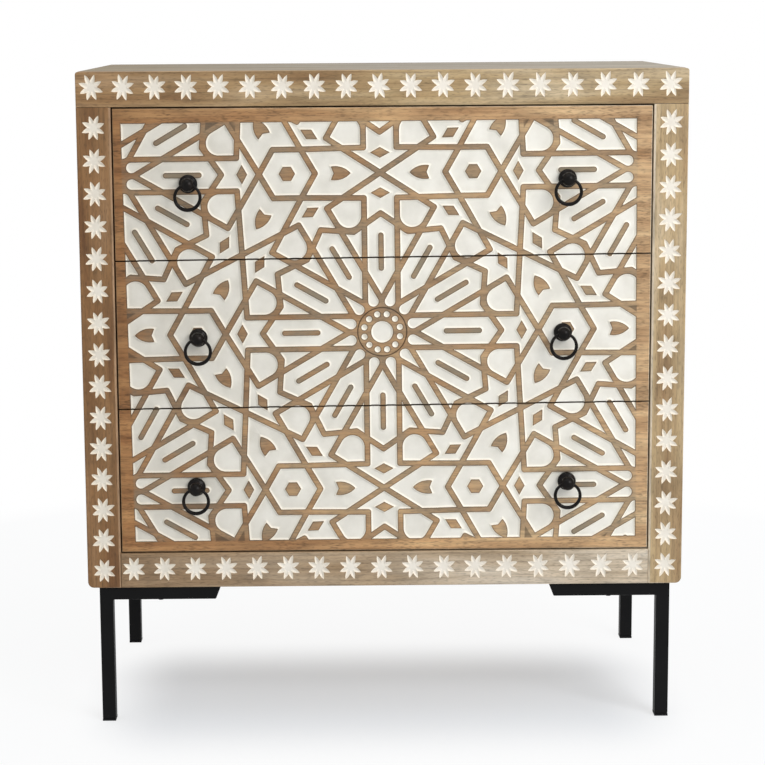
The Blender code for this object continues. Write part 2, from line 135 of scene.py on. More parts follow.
# The wire of a ring, as parts of the solid's wire: at the top, and what the bottom adds.
RING_TOP, RING_SWELL = 0.96, 0.28

# The height of a leg's arm, and the screws that hold it, measured from the middle of the leg. Their profile
# is (radius, height) from the underside of the arm.
TUBE = 18.0 * MM
ARM_SCREWS = ((73.0 * MM, 0.0), (0.0, 51.0 * MM))
SCREW_SOCKET = np.array(((1.6, -1.0), (1.6, -2.3))) * MM
SCREW_HEAD = np.array(((2.4, -2.4), (3.6, -2.2), (4.5, -1.5), (5.0, -0.6), (5.0, -0.1))) * MM
SCREW_SHANK = np.array(((2.4, -0.1), (2.4, 10.0))) * MM


# Materials


def linear(hex_colour):
    """An sRGB hex colour as linear red, green, blue and alpha."""
    parts = [int(hex_colour[i : i + 2], 16) / 255 for i in (1, 3, 5)]
    return tuple(c / 12.92 if c <= 0.04045 else ((c + 0.055) / 1.055) ** 2.4 for c in parts) + (1.0,)


def node(tree, kind, inputs=None, stops=(), out=0, **settings):
    """Adds a node and gives one of its outputs, or all of them where out is None. Settings go to its
    properties, inputs are values or sockets by socket name or number, and stops are the (position, hex colour
    or grey) stops of a colour ramp."""
    made = tree.nodes.new("ShaderNode" + kind)
    for key, value in settings.items():
        setattr(made, key, value)
    for key, value in (inputs or {}).items():
        if isinstance(value, bpy.types.NodeSocket):
            tree.links.new(value, made.inputs[key])
        else:
            made.inputs[key].default_value = value
    for number, (position, colour) in enumerate(stops):
        elements = made.color_ramp.elements
        element = elements[number] if number < len(elements) else elements.new(position)
        element.position = position
        element.color = linear(colour) if isinstance(colour, str) else (colour, colour, colour, 1.0)
    return made.outputs if out is None else made.outputs[out]


# The two colours of a Mix node and their result go by number, because sockets of other kinds have the same
# names.
FIRST, SECOND = 6, 7
IN_COLOUR = {"out": 2, "data_type": "RGBA"}
TONED = {**IN_COLOUR, "blend_type": "MULTIPLY"}


def new_material(name, **shader):
    """An empty material with its surface shader, ready for its colour, roughness and bump."""
    material = bpy.data.materials.new(name)
    material.use_nodes = True
    tree = material.node_tree
    surface = tree.nodes["Principled BSDF"]
    for key, value in shader.items():
        surface.inputs[key].default_value = value
    return material, tree, surface


def finish_surface(tree, surface, colour, roughness, height, strength, depth):
    """Gives a surface its colour and roughness, and the relief of a height pattern."""
    bump = node(tree, "Bump", {"Height": height, "Strength": strength, "Distance": depth})
    for socket, source in (("Base Color", colour), ("Roughness", roughness), ("Normal", bump)):
        tree.links.new(source, surface.inputs[socket])


def tone_and_shade_across(tree, x, tints):
    """A tint that runs from the left end of the chest over its middle to the right end. In the wood it is
    partly the wood's own tone and partly painted shade that darkens the left end, away from the light. In the
    paint it is painted shade alone.
    """
    reach = node(tree, "MapRange", {"Value": x, "From Min": -CASE_HALF, "From Max": CASE_HALF})
    return node(tree, "ValToRGB", {0: reach}, tuple(zip((0.0, 0.5, 1.0), tints)))


# The marks in the wood: length along the grain and width across it in mm, detail and roughness of the noise,
# and the tones that the noise runs through. Flecks and checks are drawn about twice the real width, so that
# they show.
WOOD_MARKS = {
    "fibre": ((70, 1.6), 2.0, 0.65, ((0.30, 0.72), (0.52, 0.97), (0.72, 1.0))),
    "pores": ((8, 1.7), 1.5, 0.50, ((0.28, 0.52), (0.42, 0.88), (0.52, 1.0))),
    "flecks": ((40, 4.4), 2.0, 0.55, ((0.30, 0.66), (0.43, 0.93), (0.54, 1.0))),
    "checks": ((9, 1.9), 1.0, 0.45, ((0.36, 0.42), (0.44, 0.80), (0.50, 1.0))),
    "clumps": ((48, 34), 1.0, 0.50, ((0.46, 0.0), (0.60, 1.0))),
    "blotch": ((85, 34), 2.5, 0.55, ((0.30, 0.66), (0.50, 0.87), (0.70, 1.0))),
}
STREAK_LENGTH, RING_LENGTH, RING_WIDTH = 200, 420, 26
RING_TONES = ((0.0, 1.0), (0.64, 0.97), (0.90, 0.60), (1.0, 0.90))
# Glued planks: where the count starts, how far the grain of one may lie from the next one's, how far boards
# and seams may be darker, and how strongly that shows.
PLANK_START, PLANK_SLIDE = 7.3, 3.0
BOARD_TONES, BOARD_SHOWS = ((0.0, 0.80), (1.0, 1.0)), 0.8
SEAM_TONES, SEAM_SHOWS = ((0.002, 0.45), (0.012, 1.0)), 0.7
# The grey haze of wiped paint, the darkening of dark wax and painted shade, the pale of edges rubbed to bare
# wood with a painted highlight, and wood rubbed through the paint. How far the wax and painted shade darken,
# and how strongly end grain shows.
PAINT_HAZE, DARK_WAX_AND_SHADE, BARE_WOOD_AND_HIGHLIGHT, RUBBED_WOOD = "#877D6A", "#2E2115", "#F3E3C8", "#C2A98A"
WAX_AND_SHADE_COVERS, END_GRAIN_SHOWS = 0.9, 0.75


def wood(
    name, grain, colours, tone_and_shade=None, figure=24.0, planks=None, checked=0.0, vigour=1.0, clouds=0.85,
    end_grain=None, roughness=(0.52, 0.66), shift=0.0,
):
    """Sawn and waxed hardwood, in a pale, a middle and a dark colour. Long streaks of tone follow the grain,
    darker ring lines wander through them, flecks and rows of short pores lie along it, clumps of short dark
    checks open in it, and the wax leaves a low uneven shine. Rolled edges are paler: partly rubbed to bare
    wood and partly a painted highlight where an edge catches the light. Dark wax and painted shade darken a
    scored line and the edges of carved cells, and paint wiped back leaves a grey haze beside a cut. Tone and
    shade gives the tints at the left end, the middle and the right end: partly the wood's own tone and partly
    painted shade that darkens the left end, away from the light. Figure is the width of a streak in mm,
    planks is the width of glued boards across the depth, checked and vigour are how strong the checks and the
    other marks are, clouds is how far the tone drifts from place to place, end grain is the colour of faces
    that are sawn across it, and shift takes another part of the pattern."""
    material, tree, surface = new_material(name, **{"IOR": 1.5, "Specular IOR Level": 0.35})
    pale, middle, dark = colours
    turn = {"X": (0, 0, 0), "Z": (0, math.pi / 2, 0), "Y": (0, 0, -math.pi / 2)}[grain]
    place = node(tree, "TexCoord", out="Object")
    spot = node(tree, "SeparateXYZ", {0: place}, out=None)
    moved = (shift, shift * 1.7, shift * 2.3)
    along = node(tree, "Mapping", {"Vector": place, "Rotation": turn, "Location": moved})
    shades = []
    if planks:
        row = node(tree, "Math", {0: spot["Y"], 1: 1 / planks, 2: PLANK_START}, operation="MULTIPLY_ADD")
        number = node(tree, "Math", {0: row}, operation="FLOOR")
        chance = node(tree, "TexWhiteNoise", {"W": number}, out=None, noise_dimensions="1D")
        slide = node(tree, "VectorMath", {0: chance["Color"], "Scale": PLANK_SLIDE}, operation="SCALE")
        along = node(tree, "VectorMath", {0: along, 1: slide}, operation="ADD")
        seam = node(tree, "Math", {0: row, 1: 1.0}, operation="PINGPONG")
        shades.append((node(tree, "ValToRGB", {0: chance["Value"]}, BOARD_TONES), BOARD_SHOWS))
        shades.append((node(tree, "ValToRGB", {0: seam}, SEAM_TONES), SEAM_SHOWS))

    streaks = ((STREAK_LENGTH, figure), 2.5, 0.55, ((0.28, dark), (0.50, middle), (0.73, pale)))
    value, tone = {}, {}
    for mark, ((length, width), detail, rough, tones) in dict(WOOD_MARKS, streaks=streaks).items():
        size = (1000 / length, 1000 / width, 1000 / width)
        stretched = node(tree, "Mapping", {"Vector": along, "Scale": size})
        pattern = {"Vector": stretched, "Scale": 1.0, "Detail": detail, "Roughness": rough}
        value[mark] = node(tree, "TexNoise", pattern, out="Fac")
        tone[mark] = node(tree, "ValToRGB", {0: value[mark]}, tones)
    ring_size = (1000 / RING_LENGTH, 1000 / RING_WIDTH, 1000 / RING_WIDTH)
    waves = {
        "Vector": node(tree, "Mapping", {"Vector": along, "Scale": ring_size}),
        "Scale": 1.0, "Distortion": 7.0, "Detail": 2.5, "Detail Scale": 1.1, "Detail Roughness": 0.55,
    }
    shape = {"wave_type": "BANDS", "bands_direction": "Z", "wave_profile": "SAW"}
    rings = node(tree, "TexWave", waves, out="Fac", **shape)
    tone["rings"] = node(tree, "ValToRGB", {0: rings}, RING_TONES)
    open_checks = node(tree, "Math", {0: tone["clumps"], 1: checked}, operation="MULTIPLY")
    strength = {
        "rings": 0.5 * vigour, "fibre": 0.6 * vigour, "pores": 0.75, "flecks": 0.7 * vigour,
        "blotch": clouds, "checks": open_checks,
    }
    shades += [(tone[mark], amount) for mark, amount in strength.items()]
    # The tint across the chest is partly the wood's own tone and partly painted shade that darkens the left
    # end, away from the light.
    if tone_and_shade:
        shades.append((tone_and_shade_across(tree, spot["X"], tone_and_shade), 1.0))

    marked = ("worn_and_highlit", "hazed", "waxed")
    worn_and_highlit, hazed, waxed = (node(tree, "Attribute", out="Fac", attribute_name=mark) for mark in marked)
    # Rolled edges turn paler towards bare wood: partly from rubbing and partly as a painted highlight where
    # an edge catches the light.
    rubbed = node(tree, "Math", {0: worn_and_highlit, 1: value["blotch"]}, operation="MULTIPLY")
    wear_and_highlight = node(tree, "MapRange", {"Value": rubbed, "From Min": 0.03, "From Max": 0.25})
    colour = node(tree, "Mix", {0: wear_and_highlight, FIRST: tone["streaks"], SECOND: linear(BARE_WOOD_AND_HIGHLIGHT)}, **IN_COLOUR)
    for shade, amount in shades:
        colour = node(tree, "Mix", {0: amount, FIRST: colour, SECOND: shade}, **TONED)
    if end_grain:
        facing = node(tree, "NewGeometry", out="True Normal")
        aligned = node(tree, "SeparateXYZ", {0: facing}, out=grain)
        sawn = node(tree, "Math", {0: aligned, 1: aligned}, operation="MULTIPLY")
        soaked = node(tree, "Math", {0: sawn, 1: END_GRAIN_SHOWS}, operation="MULTIPLY")
        colour = node(tree, "Mix", {0: soaked, FIRST: colour, SECOND: linear(end_grain)}, **IN_COLOUR)
    patchy = {"Value": value["clumps"], "From Min": 0.35, "From Max": 0.65, "To Min": 0.45, "To Max": 1.35}
    left = {0: hazed, 1: node(tree, "MapRange", patchy)}
    haze = node(tree, "Math", left, operation="MULTIPLY", use_clamp=True)
    colour = node(tree, "Mix", {0: haze, FIRST: colour, SECOND: linear(PAINT_HAZE)}, **IN_COLOUR)
    # Dark wax and painted shade darken the scored ring and the edges of the cells.
    wax = node(tree, "Math", {0: waxed, 1: WAX_AND_SHADE_COVERS}, operation="MULTIPLY")
    colour = node(tree, "Mix", {0: wax, FIRST: colour, SECOND: linear(DARK_WAX_AND_SHADE)}, **IN_COLOUR)
    shinier, duller = roughness
    rubbed_up = {"From Min": 0.3, "From Max": 0.7, "To Min": shinier, "To Max": duller}
    shine = node(tree, "MapRange", {"Value": value["blotch"], **rubbed_up})
    height = node(tree, "Mix", {0: 0.5, FIRST: tone["fibre"], SECOND: tone["pores"]}, **IN_COLOUR)
    finish_surface(tree, surface, colour, shine, height, 0.35, 0.35 * MM)
    return material


# The sizes of brush marks and grit in the paint, hammer blows and rubbed places on the iron, and drifts of
# tone in the powder coat, in mm.
BRUSHED, GRIT, BLOWS, RUBS, DRIFTS = 38, 1.6, 3.2, 11, 45


def chalk_paint(name, lit_wall_colour, shaded_floor_colours, tone_and_shade):
    """White chalk paint brushed into the carving and wiped back. The walls of a cell are painted lighter and
    creamier and the floor greyer, a painted highlight and a painted shade. Rubbed specks of wood show at the
    edges, and the surface is dull and faintly rough. Tone and shade gives the tints at the left end, the
    middle
    and the right end: painted shade that darkens the left end, away from the light."""
    material, tree, surface = new_material(name, **{"IOR": 1.48, "Specular IOR Level": 0.25})
    place = node(tree, "TexCoord", out="Object")
    inside = node(tree, "Attribute", out="Fac", attribute_name="cut_mm")
    brushed = {"Vector": place, "Scale": 1000 / BRUSHED, "Detail": 3.0, "Roughness": 0.55}
    cloud = node(tree, "TexNoise", brushed, out="Fac")
    grains = {"Vector": place, "Scale": 1000 / GRIT, "Detail": 2.0, "Roughness": 0.6}
    grit = node(tree, "TexNoise", grains, out="Fac")
    floor_colour = node(tree, "ValToRGB", {0: cloud}, tuple(zip((0.32, 0.52, 0.72), shaded_floor_colours)))
    # The walls are painted lighter and the deeper floor greyer: a painted highlight and a painted shade.
    depth = node(tree, "MapRange", {"Value": inside, "From Min": 0.4, "From Max": 3.6})
    colour = node(tree, "Mix", {0: depth, FIRST: linear(lit_wall_colour), SECOND: floor_colour}, **IN_COLOUR)
    rim = {"Value": inside, "From Min": 0.0, "From Max": 0.9, "To Min": 0.26, "To Max": 0.0}
    rub = node(tree, "Math", {0: node(tree, "MapRange", rim), 1: grit}, operation="MULTIPLY")
    rubbed = node(tree, "ValToRGB", {0: rub}, ((0.08, 0.0), (0.20, 1.0)))
    colour = node(tree, "Mix", {0: rubbed, FIRST: colour, SECOND: linear(RUBBED_WOOD)}, **IN_COLOUR)
    # Painted shade darkens the paint towards the left end, away from the light.
    tint = tone_and_shade_across(tree, node(tree, "SeparateXYZ", {0: place}, out="X"), tone_and_shade)
    colour = node(tree, "Mix", {0: 1.0, FIRST: colour, SECOND: tint}, **TONED)
    dull = node(tree, "MapRange", {"Value": cloud, "To Min": 0.58, "To Max": 0.74})
    finish_surface(tree, surface, colour, dull, grit, 0.25, 0.2 * MM)
    return material


def blackened_iron(name):
    """Forged iron, blackened with oil and waxed. Nearly black, with small glints of wax that break up over
    the hammered skin and a trace of brown where hands have rubbed it."""
    waxed = {"Coat Weight": 0.14, "Coat Roughness": 0.14, "Specular IOR Level": 0.1}
    material, tree, surface = new_material(name, Metallic=0.5, **waxed)
    place = node(tree, "TexCoord", out="Object")
    blows = {"Vector": place, "Scale": 1000 / BLOWS, "Detail": 2.0, "Roughness": 0.5}
    hammer = node(tree, "TexNoise", blows, out="Fac")
    rub = node(tree, "TexNoise", {"Vector": place, "Scale": 1000 / RUBS, "Detail": 2.0}, out="Fac")
    browns = ((0.35, "#0C0A09"), (0.60, "#14100E"), (0.78, "#231B16"))
    brown = node(tree, "ValToRGB", {0: rub}, browns)
    oiled = {"Value": hammer, "From Min": 0.3, "From Max": 0.7, "To Min": 0.32, "To Max": 0.52}
    finish_surface(tree, surface, brown, node(tree, "MapRange", oiled), hammer, 0.9, 0.9 * MM)
    return material


def powder_coat(name, colour, darker, peel_mm, roughness):
    """Matt powder coat on steel, or a moulded skin: an even dark colour with a fine orange-peel surface,
    drawn coarser than the real 0.5 mm so that it shows."""
    material, tree, surface = new_material(name, **{"IOR": 1.5, "Specular IOR Level": 0.12})
    place = node(tree, "TexCoord", out="Object")
    peel = node(tree, "TexNoise", {"Vector": place, "Scale": 1000 / peel_mm, "Detail": 2.0}, out="Fac")
    cloud = node(tree, "TexNoise", {"Vector": place, "Scale": 1000 / DRIFTS, "Detail": 2.0}, out="Fac")
    shade = node(tree, "ValToRGB", {0: cloud}, ((0.30, darker), (0.70, colour)))
    matt = {"Value": cloud, "To Min": roughness - 0.06, "To Max": roughness + 0.06}
    finish_surface(tree, surface, shade, node(tree, "MapRange", matt), peel, 0.3, 0.2 * MM)
    return material


# Mango wood, planed, stained a warm brown and waxed: the front reads tan. It is redder and darker at its left
# end, partly from the wood's own tone and partly as painted shade away from the light, which falls from the
# right.
rail_wood = wood(
    "mango_wood_top_rail", "X", ("#DBC8A6", "#C2A97F", "#9D7F59"), ("#DEC6B3", "#FFFAF4", "#F6F2EE"),
    checked=0.3, shift=0.13,
)
# The bottom rail is paler than the top rail and brightens towards its right end: painted light that stands in
# for light bounced up from the floor and for light falling from the right.
low_rail_wood_with_painted_light = wood(
    "mango_wood_bottom_rail", "X", ("#FFF8EA", "#F2E2CA", "#CFBA9C"), ("#AB947B", "#CEC0AF", "#FFFFFF"),
    checked=0.2, shift=0.29,
)
stile_wood = wood(
    "mango_wood_stiles", "Z", ("#DDC6A2", "#C5AA80", "#A4835D"), ("#C0A48C", "#E8DCD2", "#FFFFFF"),
    vigour=0.9, shift=0.41,
)
# The three fronts come from one panel. The lowest front is made paler: painted light that stands in for light
# bounced up from the white floor.
front_look = {"figure": 18.0, "checked": 0.7, "shift": 1.93}
front_wood = wood(
    "mango_wood_fronts", "X", ("#EBCA9C", "#D3AD81", "#AB845C"), ("#BDA081", "#F5E9DB", "#FFFFFF"),
    **front_look,
)
low_front_wood_with_painted_light = wood(
    "mango_wood_low_front", "X", ("#F6D5A5", "#DDB688", "#B48B61"), ("#C9AC8D", "#F5E9DB", "#FFFFFF"),
    **front_look,
)
# The sides and the top are glued from planks about 100 mm wide. The top's grey colour, warm at the left end
# and paler and cooler towards the right, is painted sheen: a reflection of the white room put into its
# colour.
plank_look = {"figure": 30.0, "vigour": 0.8, "clouds": 0.6}
side_wood = wood(
    "mango_wood_sides", "Z", ("#BC9F7C", "#A5845E", "#866646"), planks=0.096, shift=1.3, **plank_look
)
top_wood_with_painted_sheen = wood(
    "mango_wood_top", "X", ("#C6BBAA", "#AFA390", "#978A74"), ("#D5C8A6", "#E6E4DF", "#FFFFFF"),
    planks=0.104, end_grain="#937350", roughness=(0.48, 0.62), shift=2.1, **plank_look,
)
INSIDE_COLOURS = ("#BCA280", "#A98B68", "#8E7050")
frame_wood = wood("mango_wood_inside", "X", INSIDE_COLOURS, clouds=0.5, shift=2.9)
runner_wood = wood("mango_wood_runners", "Y", INSIDE_COLOURS, clouds=0.5, shift=3.3)
# Planed pine of the drawer boxes: pale, with soft yellow streaks.
PINE_COLOURS = ("#DDC59D", "#D0B387", "#BB9A6C")
box_look = {"figure": 20.0, "clouds": 0.4, "roughness": (0.58, 0.7)}
box_wood_long = wood("pine_box_sides", "Y", PINE_COLOURS, shift=4.1, **box_look)
box_wood_cross = wood("pine_box_backs", "X", PINE_COLOURS, shift=4.7, **box_look)
# Rotary-cut birch plywood: pale, even and dull, with fine streaks.
ply = wood(
    "birch_plywood", "X", ("#D2BE9B", "#C9B18C", "#BEA37C"), figure=16.0, vigour=0.6, clouds=0.2,
    roughness=(0.6, 0.72), shift=5.9,
)
# Chalk paint: cool white in the large cells, warmer ivory in the stars. In both, the walls are painted
# lighter and the floors greyer, as a painted highlight and a painted shade.
paint = chalk_paint(
    "white_chalk_paint", "#FBF5E8", ("#D0CDC3", "#E1DED5", "#EEECE4"), ("#EBE9E6", "#FFFFFF", "#FFFFFF")
)
star_paint = chalk_paint(
    "ivory_chalk_paint", "#F6EDDE", ("#D7D0C5", "#E4DED4", "#F0EBE3"), ("#FAF9F6", "#FFFFFF", "#FCFCFB")
)
iron = blackened_iron("blackened_iron")
steel = powder_coat("black_powder_coat", "#0F0F10", "#09090A", 1.1, 0.48)
plastic = powder_coat("black_polyethylene", "#19191A", "#121213", 1.6, 0.52)


# Meshes


def piece(name, points, faces, looks, body, stands_for=(), smooth=False, face_looks=None):
    """Puts arrays of points and faces into a mesh object that rides on a body."""
    mesh = bpy.data.meshes.new(name)
    mesh.from_pydata(np.asarray(points, float), [], faces)
    for look in looks:
        mesh.materials.append(look)
    if face_looks is not None:
        mesh.polygons.foreach_set("material_index", np.asarray(face_looks, np.int32))
    mesh.polygons.foreach_set("use_smooth", np.full(len(mesh.polygons), smooth))
    mesh.update()
    made = bpy.data.objects.new(name, mesh)
    bpy.context.scene.collection.objects.link(made)
    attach(made, body)
    if stands_for:
        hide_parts(*stands_for)
    return made


def grid_faces(rows, columns, closed_rows=False):
    """Quads between neighbouring points of a grid, row by row. Each row is joined round, and the last row to
    the first one where the rows are closed."""
    down = np.arange(rows if closed_rows else rows - 1)
    i, j = (a.ravel() for a in np.meshgrid(down, np.arange(columns), indexing="ij"))
    i2, j2 = (i + 1) % rows, (j + 1) % columns
    return np.stack((i * columns + j, i * columns + j2, i2 * columns + j2, i2 * columns + j), 1)


# Carving


def to_segment(x, z, start, end):
    """Distance from points to a straight piece between two points."""
    ax, az = start
    dx, dz = end[0] - ax, end[1] - az
    t = np.clip(((x - ax) * dx + (z - az) * dz) / (dx * dx + dz * dz), 0, 1)
    return np.hypot(x - ax - t * dx, z - az - t * dz)


def polar(radius, degrees):
    """A point at a distance and an angle from the middle."""
    return radius * math.cos(math.radians(degrees)), radius * math.sin(math.radians(degrees))


def into_wedge(x, z):
    """Folds points into one twelfth of the nearest rosette, in reaches: the carving is turned upright, every
    rosette stands on a grid of equal triangles, and the angle about it is mirrored until it lies between 0
    and 30 degrees."""
    cos, sin = math.cos(CARVING_TURN), math.sin(CARVING_TURN)
    dx, dz = (x - CARVING_MIDDLE[0]) / REACH, (z - CARVING_MIDDLE[1]) / REACH
    x, z = dx * cos + dz * sin, dz * cos - dx * sin
    column = np.floor(x / math.sqrt(3))
    best = np.full(x.shape, np.inf)
    u, v = np.zeros_like(x), np.zeros_like(x)
    for side in (0, 1):
        i = column + side
        row = np.floor((z - i) / 2)
        for lift in (0, 1):
            dx, dz = x - i * math.sqrt(3), z - i - 2 * (row + lift)
            nearer = dx * dx + dz * dz < best
            best = np.where(nearer, dx * dx + dz * dz, best)
            u, v = np.where(nearer, dx, u), np.where(nearer, dz, v)
    radius, angle = np.hypot(u, v), np.degrees(np.arctan2(v, u)) % 60
    angle = np.radians(np.where(angle > 30, 60 - angle, angle))
    return radius * np.cos(angle), radius * np.sin(angle)


def groove_distance(u, v):
    """Distance outside the long grooves that lie along the middles of the petals, in metres."""
    first, last = GROOVE_START + GROOVE_HALF, GROOVE_END - GROOVE_HALF
    lines = [to_segment(u, v, polar(first, degrees), polar(last, degrees)) for degrees in (0, 30)]
    return (np.min(lines, 0) - GROOVE_HALF) * REACH


def border_distance(x, z):
    """How far a point lies inside the four lines of the border."""
    (left, left_lean), (right, right_lean) = SIDE_LINES
    (low, low_slope), (high, high_slope) = END_LINES
    lift = z - CARVING_MIDDLE[1]
    across = np.minimum(x - left - left_lean * lift, right + right_lean * lift - x)
    upright = np.minimum(z - low - low_slope * x, high + high_slope * x - z)
    return np.minimum(across, upright)


def cell_distance(x, z):
    """How far a point of the fronts lies inside a carved cell, in metres, and below zero on the wood.

    The straps of a rosette's twelve petals, the zigzag band across them, the crossings between rosettes and
    the small hexagons are straight pieces in one folded wedge. The smallest distance to any of them, to the
    islands and to the border is the answer. The drops round the boss and the kites beyond the band end in a
    circle that touches the straps on both sides, and the boss adds its round hollows back."""
    u, v = into_wedge(x, z)
    radius = np.hypot(u, v)
    e30, n30 = np.array(polar(1, 30)), np.array(polar(1, 120))
    w, half = PETAL_HALF, STRAP_HALF / REACH
    corner0, corner1 = (PETAL_END, w), tuple(PETAL_END * e30 - w * n30)
    meeting = polar(1, 30)
    hex_near = (2 / math.sqrt(3) - HEXAGON, 0.0)
    hex_side = (2 / math.sqrt(3) - HEXAGON / 2, HEXAGON * math.sqrt(3) / 2)
    straps = (
        ((w, w), corner0),
        (tuple(w * e30 - w * n30), corner1),
        ((BAND_OUTER, 0), polar(BAND_INNER, 15)),
        (polar(BAND_INNER, 15), polar(BAND_OUTER, 30)),
        (corner0, meeting),
        (corner1, hex_near),
        (hex_near, hex_side),
    )
    inside = np.min([to_segment(u, v, a, b) for a, b in straps], 0) * REACH - STRAP_HALF
    turn = np.arctan2(v, u)
    near = np.minimum(turn, math.pi / 6 - turn)
    along, aside = radius * np.cos(near), radius * np.sin(near)
    far_along, far_aside = radius * np.cos(math.pi / 6 - near), radius * np.sin(math.pi / 6 - near)
    drop, drop_round = np.array(polar(DROP_AT, 15)), w - half - DROP_AT * math.sin(math.pi / 12)
    point = w - half - far_aside
    rounded = drop_round - np.hypot(far_along - drop[0], far_aside - drop[1])
    drops = np.where(far_along < drop[0], rounded, point) * REACH
    inside = np.where((far_aside < w) & (radius < DROP_FIELD), drops, inside)
    kite, kite_round = np.array(polar(KITE_AT, 15)), KITE_AT * math.sin(math.pi / 12) - w - half
    tip = np.array(polar(BAND_INNER, 15))
    beyond = (BAND_OUTER - tip[0]) * (aside - tip[1]) + tip[1] * (along - tip[0]) > 0
    rounded = (kite_round - np.hypot(along - kite[0], aside - kite[1])) * REACH
    inside = np.where(beyond & (aside > w) & (along < kite[0]), np.minimum(inside, rounded), inside)
    inside = np.minimum(inside, groove_distance(u, v))
    for axis, across in (((1.0, 0.0), (0.0, 1.0)), (e30, n30)):
        radial = np.abs(u * axis[0] + v * axis[1] - DIAMOND_AT) * REACH
        sideways = np.abs(u * across[0] + v * across[1]) * REACH
        a, b = DIAMOND_HALF
        inside = np.minimum(inside, (radial * b + sideways * a - a * b) / math.hypot(a, b))
    down = ((u - meeting[0]) * 0.5 - (v - meeting[1]) * math.sqrt(0.75)) * REACH / MM
    off = (1 - (u * e30[0] + v * e30[1])) * REACH / MM
    bow = np.hypot(down - TULIP_BOW_AT[0], off - TULIP_BOW_AT[1]) - TULIP_BOW
    rise, back = TULIP_TIP[1] - TULIP_NOTCH[1], TULIP_TIP[0] - TULIP_NOTCH[0]
    notch = ((down - TULIP_NOTCH[0]) * rise - (off - TULIP_NOTCH[1]) * back) / math.hypot(rise, back)
    inside = np.minimum(inside, np.maximum(bow, notch) * MM)
    hx, hz = np.abs(u - 2 / math.sqrt(3)) * REACH, np.abs(v) * REACH
    bud = np.maximum(hz, hx * math.sqrt(0.75) + hz / 2) - HEXAGON_BUD * math.sqrt(0.75)
    inside = np.minimum(np.minimum(inside, bud), (radius - BOSS) * REACH)
    dot = np.array(polar(DOT_CIRCLE / REACH, 15))
    inside = np.maximum(inside, PEARL_RADIUS - radius * REACH)
    inside = np.maximum(inside, DOT_RADIUS - np.hypot(u - dot[0], v - dot[1]) * REACH)
    return np.minimum(inside, border_distance(x, z))


def boss_distance(x, z):
    """How far a point lies outside the round boss of the middle rosette."""
    return np.hypot(x - CARVING_MIDDLE[0], z - CARVING_MIDDLE[1]) - BOSS * REACH


def front_finish(x, z, cut):
    """How much wiped paint and how much darkening a point of the wood keeps. Paint keeps most on the grooves,
    which lie deep among it, less on the straps, and none on the border. Dark wax and painted shade gather in
    the scored ring and along the edges of the cells as far as the first step."""
    grooves = groove_distance(*into_wedge(x, z)) < STRAP_HALF / 2
    among = np.clip(1 - border_distance(x, z) / CELL_STEPS[0], 0, 1)
    edge = np.clip(1 - cut / CELL_STEPS[0], 0, 1)
    ring = np.interp(boss_distance(x, z), SCORE_STEPS, SCORE_DEPTHS) / SCORE_DEPTHS.max()
    haze = among * np.where(grooves, GROOVE_HAZE, STRAP_HAZE)
    return {"hazed": haze, "waxed": np.maximum(ring, EDGE_WAX_AND_SHADE * edge)}


def without_slivers(field, low, high, pitch):
    """Gives the same field with the narrow offcuts along the border left as wood.

    On a grid, the parts of the cells that are wide enough grow step by step to fill their cells. What they
    don't reach is a sliver. Its outline is smoothed, and a point inside it counts as lying on the wood."""
    xs, zs = np.arange(low[0], high[0], pitch), np.arange(low[1], high[1], pitch)
    values = field(*np.meshgrid(xs, zs))
    cell, kept = values > 0, values > SLIVER

    def grown(spots):
        wide = spots.copy()
        wide[1:] |= spots[:-1]
        wide[:-1] |= spots[1:]
        wide[:, 1:] |= spots[:, :-1]
        wide[:, :-1] |= spots[:, 1:]
        return wide

    for _ in range(int(SLIVER_SPREAD / pitch)):
        kept = grown(kept) & cell
    sliver = grown(grown(cell & ~kept)).astype(float)
    for _ in range(SLIVER_SMOOTHINGS):
        for axis in (0, 1):
            sliver = (np.roll(sliver, 1, axis) + 2 * sliver + np.roll(sliver, -1, axis)) / 4

    def inside(x, z):
        i = np.clip((x - low[0]) / pitch, 0, len(xs) - 1.001)
        j = np.clip((z - low[1]) / pitch, 0, len(zs) - 1.001)
        column, row = i.astype(int), j.astype(int)
        s, t = i - column, j - row
        below = (1 - s) * sliver[row, column] + s * sliver[row, column + 1]
        above = (1 - s) * sliver[row + 1, column] + s * sliver[row + 1, column + 1]
        near = (1 - t) * below + t * above
        return np.minimum(field(x, z), SLIVER_EASE * (0.5 - near) / (near + SLIVER_CLEAR))

    return inside


def paced(count, spacing, bow=0.0):
    """Places along a row about its middle: equal steps, plus a bow that fades towards both ends."""
    part = np.linspace(-1, 1, count)
    return part * spacing * (count - 1) / 2 + bow * (1 - part * part)


def star_distance(places, seed):
    """Gives a function for how far a point lies inside the nearest star.

    A star has eight pointed petals, each the outer part of the overlap of two circles, round a small heart.
    Each petal's length and each star's turn differ a little, as cut by hand."""
    places = np.asarray(places, float)
    chance = np.random.default_rng(seed)
    turns = STAR_TURN + chance.normal(0, UNEVEN, len(places))
    lengths = 1 + chance.normal(0, UNEVEN, (len(places), STAR_PETALS))

    def inside(x, z):
        dx, dz = x[..., None] - places[:, 0], (z[..., None] - places[:, 1]) / STAR_TALL
        nearest = np.argmin(dx * dx + dz * dz, -1)
        dx = np.take_along_axis(dx, nearest[..., None], -1)[..., 0]
        dz = np.take_along_axis(dz, nearest[..., None], -1)[..., 0]
        radius, angle = np.hypot(dx, dz), np.arctan2(dz, dx) - turns[nearest]
        step = 2 * math.pi / STAR_PETALS
        which = np.round(angle / step)
        angle = angle - which * step
        reach = STAR_REACH * lengths[nearest, which.astype(int) % STAR_PETALS]
        u, v = radius * np.cos(angle), np.abs(radius * np.sin(angle))
        half = (reach - STAR_ROOT) / 2
        bow = (half * half + STAR_PETAL_HALF**2) / (2 * STAR_PETAL_HALF)
        petal = bow - np.hypot(u - (STAR_ROOT + half), v + bow - STAR_PETAL_HALF)
        return np.maximum(petal, STAR_HEART - radius)

    return inside


